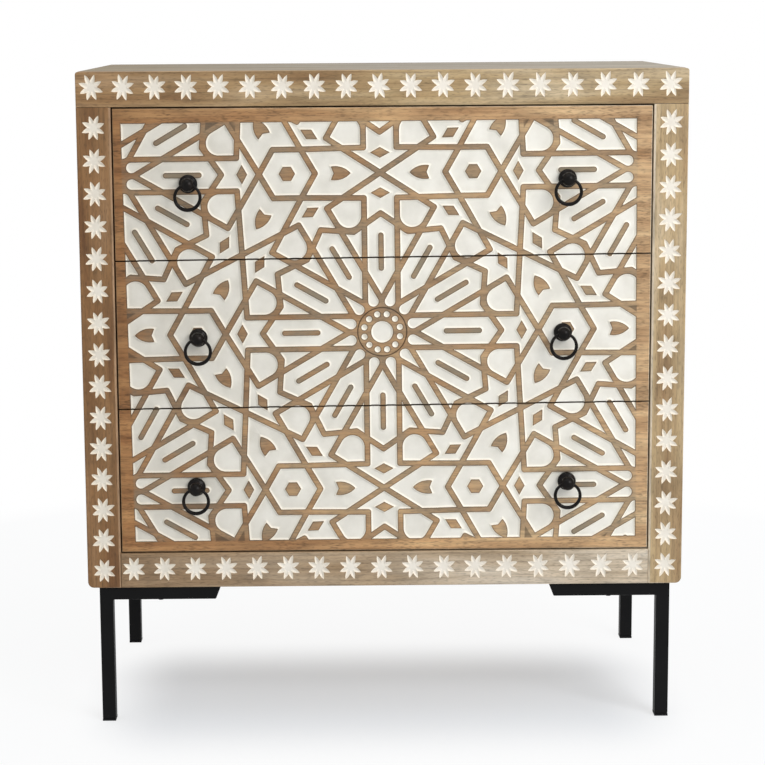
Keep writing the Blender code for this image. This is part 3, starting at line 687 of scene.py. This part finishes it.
def level_line(values, xs, zs, level):
    """The line where a field on a grid passes a level, as points and the number of each one's next point.

    Each cell of the grid is looked up by which of its corners are above the level; the line crosses a cell's
    side where the field, taken as straight along it, meets the level. Points of two cells on one side are
    one."""
    rows, columns = values.shape
    above = values > level
    case = above[:-1, :-1] + 2 * above[:-1, 1:] + 4 * above[1:, 1:] + 8 * above[1:, :-1]
    number = np.arange(rows * columns).reshape(rows, columns)
    flat, upright = number, number + rows * columns
    sides = (flat[:-1, :-1], upright[:-1, 1:], flat[1:, :-1], upright[:-1, :-1])
    steps = {
        1: "03", 2: "10", 3: "13", 4: "21", 5: "0321", 6: "20", 7: "23",
        8: "32", 9: "02", 10: "1032", 11: "12", 12: "31", 13: "01", 14: "30",
    }
    starts, ends = [], []
    for code, path in steps.items():
        here = case == code
        for a, b in zip(path[::2], path[1::2]):
            starts.append(sides[int(a)][here])
            ends.append(sides[int(b)][here])
    starts, ends = np.concatenate(starts), np.concatenate(ends)
    keys, order = np.unique(np.concatenate((starts, ends)), return_inverse=True)
    start, end = order[: len(starts)], order[len(starts) :]
    is_upright = keys >= rows * columns
    row, column = np.divmod(keys % (rows * columns), columns)
    row2, column2 = row + is_upright, column + ~is_upright
    first, second = values[row, column], values[row2, column2]
    part = (level - first) / (second - first)
    x = xs[column] + part * (xs[column2] - xs[column])
    z = zs[row] + part * (zs[row2] - zs[row])
    following, before = np.full(len(keys), -1), np.full(len(keys), -1)
    following[start], before[end] = end, start
    return np.stack((x, z), 1), following, before


def straightened(points, following, before):
    """Drops points of a line that lie on the straight between their neighbours, a third of them at a time,
    and gives the points that are left and the pairs that they join."""
    rank = np.random.default_rng(LINE_SEED).permutation(len(points))
    alive = np.ones(len(points), bool)
    for _ in range(LINE_ROUNDS):
        middle = np.flatnonzero(alive & (following >= 0) & (before >= 0))
        a, b, c = points[before[middle]], points[middle], points[following[middle]]
        chord = c - a
        length = np.maximum(np.hypot(chord[:, 0], chord[:, 1]), 1e-9)
        off = np.abs(chord[:, 0] * (b[:, 1] - a[:, 1]) - chord[:, 1] * (b[:, 0] - a[:, 0])) / length
        free = np.full(len(points), -1)
        flat = (off < LINE_TOLERANCE) & (length < LONGEST_PIECE)
        straight = middle[flat & (before[middle] != following[middle])]
        free[straight] = rank[straight]
        ahead, behind = free[following[straight]], free[before[straight]]
        drop = straight[rank[straight] > np.maximum(ahead, behind)]
        if not len(drop):
            break
        alive[drop] = False
        following[before[drop]], before[following[drop]] = following[drop], before[drop]
    kept = np.flatnonzero(alive & ((following >= 0) | (before >= 0)))
    new = np.full(len(points), -1)
    new[kept] = np.arange(len(kept))
    joined = kept[following[kept] >= 0]
    return points[kept], np.stack((new[joined], new[following[joined]]), 1)


def inset(outline, distances):
    """A polygon with each side moved in by its own distance: corners are where neighbouring moved sides
    meet."""
    ahead = np.roll(outline, -1, 0) - outline
    inward = np.stack((-ahead[:, 1], ahead[:, 0]), 1) / np.hypot(ahead[:, 0], ahead[:, 1])[:, None]
    level = np.sum(inward * outline, 1) + distances
    pairs = np.stack((np.roll(inward, 1, 0), inward), 1)
    return np.linalg.solve(pairs, np.stack((np.roll(level, 1), level), 1)[..., None])[..., 0], inward


def carved_board(name, solid, outline, eases, cuts, pitch, looks, body, finish=None):
    """A board seen from the front with a carved face: depth is a function of the two parameters x and z.

    Each cut is a distance field with its steps and depths, and the first one is painted. At each point the
    cut is as deep as the distance gives, and near a side the face rolls off by a quarter circle. The lines of
    equal distance and of the rolled edge are the mesh's edges, so that every carved line stays sharp; between
    them the face is filled with triangles. The rim runs straight back and a fan closes the board behind."""
    front, back = (corner.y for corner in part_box(solid))
    outline, eases = np.asarray(outline, float), np.asarray(eases, float)
    low, high = outline.min(0) - 2 * pitch, outline.max(0) + 2 * pitch
    xs = np.arange(low[0], high[0] + pitch, pitch)
    zs = np.arange(low[1], high[1] + pitch, pitch)
    points, pairs, count = [], [], 0
    for part in ROLL_PARTS:
        ring, inward = inset(outline, eases[:, 0] * part)
        turn = count + np.arange(len(ring))
        points.append(ring)
        pairs.append(np.stack((turn, np.roll(turn, -1)), 1))
        count += len(ring)
    for field, steps, _ in cuts:
        values = field(*np.meshgrid(xs, zs))
        for level in steps:
            line, joins = straightened(*level_line(values, xs, zs, level))
            points.append(line)
            pairs.append(joins + count)
            count += len(line)
    flat = [Vector(p) for p in np.concatenate(points)]
    spots, _, faces, *_ = delaunay_2d_cdt(flat, np.concatenate(pairs).tolist(), [], 0, SAME_POINT)
    spots, faces = np.array([tuple(s) for s in spots]), np.array(faces)
    a, b, c = (spots[faces[:, k]] for k in range(3))
    area = (b[:, 0] - a[:, 0]) * (c[:, 1] - a[:, 1]) - (b[:, 1] - a[:, 1]) * (c[:, 0] - a[:, 0])
    faces = np.where((area < 0)[:, None], faces[:, ::-1], faces)
    reach = (a + b + c) / 3 @ inward.T - np.sum(inward * outline, 1)
    faces = faces[(reach.min(1) > 0) & (np.abs(area) > NO_AREA)]
    used, faces = np.unique(faces, return_inverse=True)
    spots, faces = spots[used], faces.reshape(-1, 3)
    side = np.clip(spots @ inward.T - np.sum(inward * outline, 1), 0, None)
    roll = np.clip(1 - side / eases[:, 0], 0, 1)
    fall = (eases[:, 1] * (1 - np.sqrt(np.clip(1 - roll * roll, 0, 1)))).max(1)
    depths = [np.interp(field(*spots.T), steps, deep) for field, steps, deep in cuts]
    face_points = np.stack((spots[:, 0], front + np.max(depths + [fall], 0), spots[:, 1]), 1)
    edges = np.concatenate((faces[:, [0, 1]], faces[:, [1, 2]], faces[:, [2, 0]]))
    keys, turned_keys = edges @ (len(spots), 1), edges @ (1, len(spots))
    rim = edges[~np.isin(keys, turned_keys)]
    rim_points = np.unique(rim)
    behind = np.full(len(spots), -1)
    behind[rim_points] = len(spots) + np.arange(len(rim_points))
    back_points = face_points[rim_points] * (1, 0, 1) + (0, back, 0)
    centre = len(spots) + len(rim_points)
    middle = np.array([[outline[:, 0].mean(), back, outline[:, 1].mean()]])
    walls = np.stack((rim[:, 1], rim[:, 0], behind[rim[:, 0]], behind[rim[:, 1]]), 1)
    fan = np.stack((behind[rim[:, 1]], behind[rim[:, 0]], np.full(len(rim), centre)), 1)
    painted = cuts[0][0]
    white = painted(*spots[faces].mean(1).T) > 0
    made = piece(
        name,
        np.concatenate((face_points, back_points, middle)),
        faces.tolist() + walls.tolist() + fan.tolist(),
        looks,
        body,
        [solid],
        face_looks=np.concatenate((white, np.zeros(len(walls) + len(fan)))),
    )
    cut = painted(*spots.T)
    noted = np.clip(cut / MM, -DEEPEST_MARK, DEEPEST_MARK)
    # How pale each rolled edge is made: rubbed to bare wood and a painted highlight.
    marks = {"cut_mm": noted, "worn_and_highlit": (roll * eases[:, 2]).max(1)}
    if finish:
        marks.update(finish(*spots.T, cut))
    for key, values in marks.items():
        attribute = made.data.attributes.new(key, "FLOAT", "POINT")
        hidden = np.full(len(rim_points) + 1, values.min())
        attribute.data.foreach_set("value", np.append(values, hidden).astype(np.float32))
    return made


def rectangle(low, high):
    """The outline of a box seen from the front."""
    return [(low.x, low.z), (high.x, low.z), (high.x, high.z), (low.x, high.z)]


def drawer_fronts():
    """Three fronts cut from one carved panel: the saw lines between them lean with the carving."""
    boxes = [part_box(f"{drawer}_drawer_front") for drawer in DRAWERS]
    lean = math.tan(CARVING_TURN)
    low, high = boxes[-1][0], boxes[0][1]
    carving = without_slivers(cell_distance, (low.x, low.z), (high.x, high.z), SLIVER_PITCH)
    cuts = ((carving, CELL_STEPS, CELL_DEPTHS), (boss_distance, SCORE_STEPS, SCORE_DEPTHS))
    for drawer, (low, high) in zip(DRAWERS, boxes):
        highest, lowest = drawer == DRAWERS[0], drawer == DRAWERS[-1]
        outline = np.array(rectangle(low, high))
        if not lowest:
            outline[:2, 1] += outline[:2, 0] * lean
        if not highest:
            outline[2:, 1] += outline[2:, 0] * lean
        lower, upper = FRONT_EDGE if lowest else TIGHT, FRONT_EDGE if highest else TIGHT
        eases = [lower, FRONT_EDGE, upper, FRONT_EDGE]
        carved_board(
            f"{drawer}_carved_front", f"{drawer}_drawer_front", outline, eases, cuts, CELL_PITCH,
            (low_front_wood_with_painted_light if lowest else front_wood, paint), f"{drawer}_drawer", front_finish,
        )


def starred_board(name, solid, outline, eases, stars, look):
    """A board of the face frame with its row of stars."""
    cuts = ((star_distance(stars, STAR_SEEDS[solid]), STAR_STEPS, STAR_DEPTHS),)
    carved_board(name, solid, outline, eases, cuts, STAR_PITCH, (look, star_paint), "case")


def face_frame():
    """Two rails and two stiles with a row of stars. The stiles' inner edges are rolled wide and made paler,
    partly rubbed bare and partly a painted highlight.
    """
    across = paced(RAIL_STARS, RAIL_SPACING, RAIL_BOW)
    low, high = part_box("top_rail")
    stars = [(x + TOP_ROW[0], (low.z + high.z) / 2 + TOP_ROW[1]) for x in across]
    angles = np.radians(np.linspace(0, 90, 5))
    bend_x, bend_z = high.x - RAIL_CORNER * (1 - np.cos(angles)), high.z - RAIL_CORNER * (1 - np.sin(angles))
    bend = list(zip(bend_x, bend_z))
    outline = [(low.x, low.z), (high.x, low.z)] + bend + [(-x, z) for x, z in bend[::-1]]
    eases = [TIGHT] + [SOFT] * (2 * len(bend) + 1)
    starred_board("top_starred_rail", "top_rail", outline, eases, stars, rail_wood)

    low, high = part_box("bottom_rail")
    stars = [(x + BOTTOM_ROW[0], (low.z + high.z) / 2 + BOTTOM_ROW[1]) for x in across[1:-1]]
    eases = [SOFT, TIGHT, FRONT_EDGE, TIGHT]
    starred_board("bottom_starred_rail", "bottom_rail", rectangle(low, high), eases, stars, low_rail_wood_with_painted_light)

    angles = np.radians(np.linspace(0, 90, 7))
    for hand, side in zip(HANDS, (-1, 1)):
        low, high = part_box(f"{hand}_stile")
        inner, outer = (high.x, low.x) if side < 0 else (low.x, high.x)
        bend_x = outer - side * STILE_CORNER * (1 - np.sin(angles))
        bend = list(zip(bend_x, low.z + STILE_CORNER * (1 - np.cos(angles))))
        outline = [(inner, low.z)] + bend + [(outer, high.z), (inner, high.z)]
        eases = [SOFT] * (len(bend) + 1) + [TIGHT, WORN_AND_HIGHLIT]
        if side < 0:
            outline, eases = outline[::-1], [TIGHT] + [SOFT] * (len(bend) + 1) + [WORN_AND_HIGHLIT]
        middle = (low + high) / 2
        down = paced(STILE_STARS, -STILE_SPACING, STILE_ROW_BOW[hand])
        stars = [(middle.x, middle.z + STILE_ROW_RISE[hand] + z) for z in down]
        starred_board(f"{hand}_starred_stile", f"{hand}_stile", outline, eases, stars, stile_wood)


# Pulls


def turned(profile, steps, centre, axis):
    """A profile of (radius, height) turned about an axis: points on a grid of profile steps and turns."""
    radius, height = np.asarray(profile, float).T
    angle = np.linspace(0, 2 * math.pi, steps, endpoint=False)
    ring = np.stack((np.cos(angle), np.sin(angle)), 1)
    flat = radius[:, None, None] * ring
    lift = np.broadcast_to(height[:, None, None], flat.shape[:2] + (1,))
    order = {"Y": (0, 2, 1), "X": (2, 0, 1)}[axis]
    points = np.concatenate((flat, lift), 2)[..., order]
    return (points + np.asarray(centre)).reshape(-1, 3)


def rounded_profile(corners, steps=6):
    """Corner points of a profile with their rounding radii, each corner swept as a curve between its two
    sides."""
    corners = np.asarray(corners, float)
    places, radii = corners[:, :2], corners[:, 2]
    out = [places[:1]]
    t = np.linspace(0, 1, steps)[:, None]
    for k in range(1, len(places) - 1):
        before, here, after = places[k - 1], places[k], places[k + 1]
        a = here + (before - here) / np.linalg.norm(before - here) * radii[k]
        b = here + (after - here) / np.linalg.norm(after - here) * radii[k]
        out.append((1 - t) ** 2 * a + 2 * t * (1 - t) * here + t**2 * b)
    out.append(places[-1:])
    return np.concatenate(out)


def capped_faces(rows, columns):
    """The faces of a grid that is closed round, with a fan to one point before its first row and to one point
    behind its last; the two points follow the grid's own."""
    first, last, count = np.arange(columns), np.arange(columns) + (rows - 1) * columns, rows * columns
    start = np.stack((np.roll(first, -1), first, np.full(columns, count)), 1)
    end = np.stack((last, np.roll(last, -1), np.full(columns, count + 1)), 1)
    return grid_faces(rows, columns).tolist() + start.tolist() + end.tolist()


def pulls():
    """Six ring pulls: a domed rose against the front, a pierced ball on it, and a ring through the ball."""
    for drawer in DRAWERS:
        for hand in HANDS:
            low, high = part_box(f"{drawer}_{hand}_knob")
            ring_low, ring_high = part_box(f"{drawer}_{hand}_ring")
            wire = (ring_high.y - ring_low.y) / 2
            hinge_y = (ring_high.y + ring_low.y) / 2
            hinge_z = ring_high.z - wire
            middle_x = (low.x + high.x) / 2
            pull_knob(drawer, hand, middle_x, hinge_y, hinge_z, low, high)
            pull_ring(drawer, hand, middle_x, hinge_y, hinge_z, ring_low, wire)


def pull_knob(drawer, hand, x, y, z, low, high):
    """The rose and neck are a profile of (radius, height off the front, rounding) turned about the pull's own
    line, with the stud behind. The ball is a round bead turned about the ring's hinge line, so its hole runs
    across."""
    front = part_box(f"{drawer}_drawer_front")[0].y
    rose, out, tail = (high.x - low.x) / 2, front - y, front - high.y
    corners = (
        (0.0, out - NECK_END, 0), (NECK, out - NECK_END, 1.5 * MM), (NECK_FOOT, 8.0 * MM, 1.0 * MM),
        (rose * 0.62, 5.6 * MM, 2.0 * MM), (rose * 0.93, 3.0 * MM, 1.2 * MM), (rose, 1.2 * MM, 0.8 * MM),
        (rose, ROSE_CLEAR, 0.15 * MM), (STUD, ROSE_CLEAR, 0.3 * MM), (STUD, tail, 0.6 * MM),
        (0.0, tail, 0),
    )
    profile = rounded_profile(corners)[::-1] * (1, -1)
    sides, rows = 40, len(profile) - 2
    body = turned(profile[1:-1], sides, (x, front, z), "Y")
    caps = np.array([[x, front + profile[0, 1], z], [x, front + profile[-1, 1], z]])
    reach = math.acos(BALL_HOLE / BALL)
    bow = np.linspace(-reach, reach, 21)
    outer = np.stack((BALL * np.cos(bow), BALL * np.sin(bow)), 1)
    half = BALL * math.sin(reach) - BORE_SHORTER
    bore = np.linspace(half, -half, 7)
    inner = np.stack((np.full(len(bore), BALL_HOLE - BORE_NARROWER), bore), 1)
    bead_profile = np.concatenate((outer, inner))
    bead = turned(bead_profile, sides, (x, y, z), "X")
    bead_faces = grid_faces(len(bead_profile), sides, closed_rows=True) + len(body) + len(caps)
    made = piece(
        f"{drawer}_{hand}_pull_knob", np.concatenate((body, caps, bead)),
        capped_faces(rows, sides) + bead_faces.tolist(), (iron,), f"{drawer}_drawer",
        [f"{drawer}_{hand}_knob"], smooth=True,
    )
    made.data.set_sharp_from_angle(angle=math.radians(50))


def pull_ring(drawer, hand, x, y, z, low, wire):
    """A round wire carried along a circle that hangs from the hinge point. It gets thicker towards the
    bottom, on the inside of the ring, as a hand-forged ring does."""
    turns, sides = 72, 16
    radius = (z - low.z - wire) / 2
    angle = np.linspace(0, 2 * math.pi, turns, endpoint=False)[:, None]
    round_wire = np.linspace(0, 2 * math.pi, sides, endpoint=False)[None]
    thick = wire * (RING_TOP + RING_SWELL * np.sin(angle / 2) ** 2 * np.ones_like(round_wire))
    out = radius + wire - thick + thick * np.cos(round_wire)
    aside, lift = out * np.sin(angle), out * np.cos(angle)
    points = np.stack((x + aside, y + thick * np.sin(round_wire), z - radius + lift), -1).reshape(-1, 3)
    piece(
        f"{drawer}_{hand}_pull_ring", points, grid_faces(turns, sides, closed_rows=True).tolist(), (iron,),
        f"{drawer}_{hand}_ring", [f"{drawer}_{hand}_ring"], smooth=True,
    )


# Screws


def arm_screws():
    """A pan-head screw up through each arm of the legs. Radius is a function of height and turn: round on the
    head and shank, and six-sided in the socket, where it is the inner radius over the cosine of the angle
    from the middle of a side."""
    sides = 24
    angle = np.linspace(0, 2 * math.pi, sides, endpoint=False)
    six_sided = 1 / np.cos((angle + math.pi / 6) % (math.pi / 3) - math.pi / 6)
    profile = np.concatenate((SCREW_SOCKET, SCREW_HEAD, SCREW_SHANK))
    in_socket = np.arange(len(profile))[:, None] < len(SCREW_SOCKET)
    radius = profile[:, :1] * np.where(in_socket, six_sided, 1.0)
    lift = np.broadcast_to(profile[:, 1:], radius.shape)
    shape = np.stack((radius * np.cos(angle), radius * np.sin(angle), lift), -1).reshape(-1, 3)
    shape = np.concatenate((shape, [(0, 0, profile[0, 1]), (0, 0, profile[-1, 1])]))
    places = []
    for corner in CORNERS:
        foot_low, foot_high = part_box(f"{corner}_foot")
        foot = (foot_low + foot_high) / 2
        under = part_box(f"{corner}_leg")[1].z - TUBE
        for along_x, along_y in ARM_SCREWS:
            x, y = foot.x - math.copysign(along_x, foot.x), foot.y - math.copysign(along_y, foot.y)
            places.append((x, y, under))
    points = (np.array(places)[:, None] + shape).reshape(-1, 3)
    faces = capped_faces(len(profile), sides)
    every = [[i + k * len(shape) for i in face] for k in range(len(places)) for face in faces]
    made = piece("arm_screws", points, every, (iron,), "case", smooth=True)
    made.data.set_sharp_from_angle(angle=math.radians(35))


# Finishes on the solids


def dress(nodes, look):
    """Gives solids that keep their shape a finish."""
    for name in nodes:
        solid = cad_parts[name]
        solid.data.materials.clear()
        solid.data.materials.append(look)


drawer_fronts()
face_frame()
pulls()
arm_screws()
dress(["top_board"], top_wood_with_painted_sheen)
dress(["left_side_panel", "right_side_panel"], side_wood)
dress(["floor_panel", "upper_divider", "lower_divider"], frame_wood)
dress([f"{d}_{h}_runner" for d in DRAWERS for h in HANDS], runner_wood)
dress(["back_panel"] + [f"{d}_drawer_bottom" for d in DRAWERS], ply)
dress([f"{d}_drawer_{h}_side" for d in DRAWERS for h in HANDS], box_wood_long)
dress([f"{d}_drawer_back" for d in DRAWERS], box_wood_cross)
dress([f"{d}_{h}_nut" for d in DRAWERS for h in HANDS], iron)
dress([f"{corner}_leg" for corner in CORNERS], steel)
dress([f"{corner}_foot" for corner in CORNERS], plastic)


# Floor, light and camera

# The floor's half width. The patch that shows the shadow, as a move and a stretch of the floor and then its
# half size. How thick the veil of white is on the patch and beyond its soft edge, and the distances from the
# middle between which the floor turns all white.
FLOOR_HALF = 12.0
PATCH_MOVE, PATCH_STRETCH, PATCH_HALF = (0.0, 0.081, 0.0), (1.0, 0.83, 1.0), (0.28, 0.062, 0.0)
VEIL_THIN, VEIL_THICK, VEIL_EDGE = 0.33, 0.9, 0.155
WHITE_FROM, WHITE_TO = 0.55, 1.25
# How strongly the white room lights the chest, and the lamps: place, aim, side of the square, and power.
ROOM_LIGHT = 0.54
LAMPS = {
    "key_softbox": ((1.7, -2.1, 2.0), (0.0, 0.0, 0.5), 1.6, 48),
    "top_softbox": ((-0.2, -0.3, 2.9), (0.0, 0.0, 0.5), 2.0, 14),
    "floor_wash": ((0.0, 1.6, 0.45), (0.0, 0.1, 0.0), 0.8, 7),
}
# The view: yaw, pitch and roll in degrees, and place. The lens and the sensor in mm, and the lens's shift in
# parts of the sensor.
VIEW_ANGLES, VIEW_PLACE = (0.429, 7.960, -0.374), (-0.0504, -2.7557, 0.9494)
LENS, SENSOR, LENS_SHIFT = 92.38, 36.0, (0.0295, -0.12)


def seen_by_eye(tree):
    """One for rays that show a surface to the eye, straight or in a shine, and zero for rays of light."""
    rays = node(tree, "LightPath", out=None)
    mirrored = {0: rays["Is Glossy Ray"], 1: rays["Is Transmission Ray"]}
    either = {0: rays["Is Camera Ray"], 1: node(tree, "Math", mirrored, operation="MAXIMUM")}
    return node(tree, "Math", either, operation="MAXIMUM")


def floor():
    """A pale studio floor. The eye sees the shadow on a rounded patch under the chest, through a veil of
    white that thickens outside the patch and is all white further out."""
    size = FLOOR_HALF
    mesh = bpy.data.meshes.new("studio_floor")
    corners = [(-size, -size, 0), (size, -size, 0), (size, size, 0), (-size, size, 0)]
    mesh.from_pydata(corners, [], [(0, 1, 2, 3)])
    ground = bpy.data.objects.new("studio_floor", mesh)
    bpy.context.scene.collection.objects.link(ground)
    dull = {"Base Color": linear("#E9EEF4"), "Roughness": 0.9, "Specular IOR Level": 0.0}
    material, tree, surface = new_material("studio_floor", **dull)
    place = node(tree, "TexCoord", out="Object")
    centred = node(tree, "Mapping", {"Vector": place, "Location": PATCH_MOVE, "Scale": PATCH_STRETCH})
    folded = node(tree, "VectorMath", {0: centred}, operation="ABSOLUTE")
    past = node(tree, "VectorMath", {0: folded, 1: PATCH_HALF}, operation="SUBTRACT")
    outside = node(tree, "VectorMath", {0: past, 1: (0, 0, 0)}, operation="MAXIMUM")
    off = node(tree, "VectorMath", {0: outside}, out="Value", operation="LENGTH")
    away = node(tree, "VectorMath", {0: place}, out="Value", operation="LENGTH")
    soft = {"interpolation_type": "SMOOTHSTEP"}
    veils = {"From Min": 0.0, "From Max": VEIL_EDGE, "To Min": VEIL_THIN, "To Max": VEIL_THICK}
    near = node(tree, "MapRange", {"Value": off, **veils}, **soft)
    far = node(tree, "MapRange", {"Value": away, "From Min": WHITE_FROM, "From Max": WHITE_TO}, **soft)
    veil = node(tree, "Math", {0: near, 1: far}, operation="MAXIMUM")
    amount = node(tree, "Math", {0: veil, 1: seen_by_eye(tree)}, operation="MULTIPLY")
    white = node(tree, "Emission", {"Color": (1, 1, 1, 1), "Strength": 1.0})
    mixed = node(tree, "MixShader", {0: amount, 1: surface.outputs[0], 2: white})
    tree.links.new(mixed, tree.nodes["Material Output"].inputs["Surface"])
    mesh.materials.append(material)


def studio_light():
    """A white room, a broad soft lamp from the upper right front, a weaker one from above and a low one
    behind that washes the floor."""
    world = bpy.data.worlds.new("white_room")
    bpy.context.scene.world = world
    world.use_nodes = True
    tree = world.node_tree
    background = tree.nodes["Background"]
    levels = {"Value": seen_by_eye(tree), "To Min": ROOM_LIGHT, "To Max": 1.0}
    tree.links.new(node(tree, "MapRange", levels), background.inputs["Strength"])
    background.inputs["Color"].default_value = (1, 1, 1, 1)
    for name, (at, towards, size, power) in LAMPS.items():
        lamp = bpy.data.lights.new(name, "AREA")
        lamp.shape = "SQUARE"
        lamp.size = size
        lamp.energy = power
        made = bpy.data.objects.new(name, lamp)
        made.location = at
        made.rotation_euler = (Vector(towards) - Vector(at)).to_track_quat("-Z", "Y").to_euler()
        made.visible_camera = False
        bpy.context.scene.collection.objects.link(made)


def camera():
    """The view: a little left of the middle and above the top, through a lens that is shifted down."""
    yaw, pitch, roll = (math.radians(angle) for angle in VIEW_ANGLES)
    flat = math.cos(pitch)
    ahead = Vector((math.sin(yaw) * flat, math.cos(yaw) * flat, -math.sin(pitch)))
    right = Vector((math.cos(yaw), -math.sin(yaw), 0))
    up = right.cross(ahead)
    right, up = math.cos(roll) * right + math.sin(roll) * up, math.cos(roll) * up - math.sin(roll) * right
    lens = bpy.data.cameras.new("view")
    lens.sensor_fit = "HORIZONTAL"
    lens.sensor_width = SENSOR
    lens.lens = LENS
    lens.shift_x, lens.shift_y = LENS_SHIFT
    made = bpy.data.objects.new("view", lens)
    axes = Matrix((right, up, -ahead)).transposed().to_4x4()
    made.matrix_world = Matrix.Translation(VIEW_PLACE) @ axes
    bpy.context.scene.collection.objects.link(made)
    bpy.context.scene.camera = made


floor()
studio_light()
camera()
bpy.context.scene.view_settings.view_transform = "Standard"
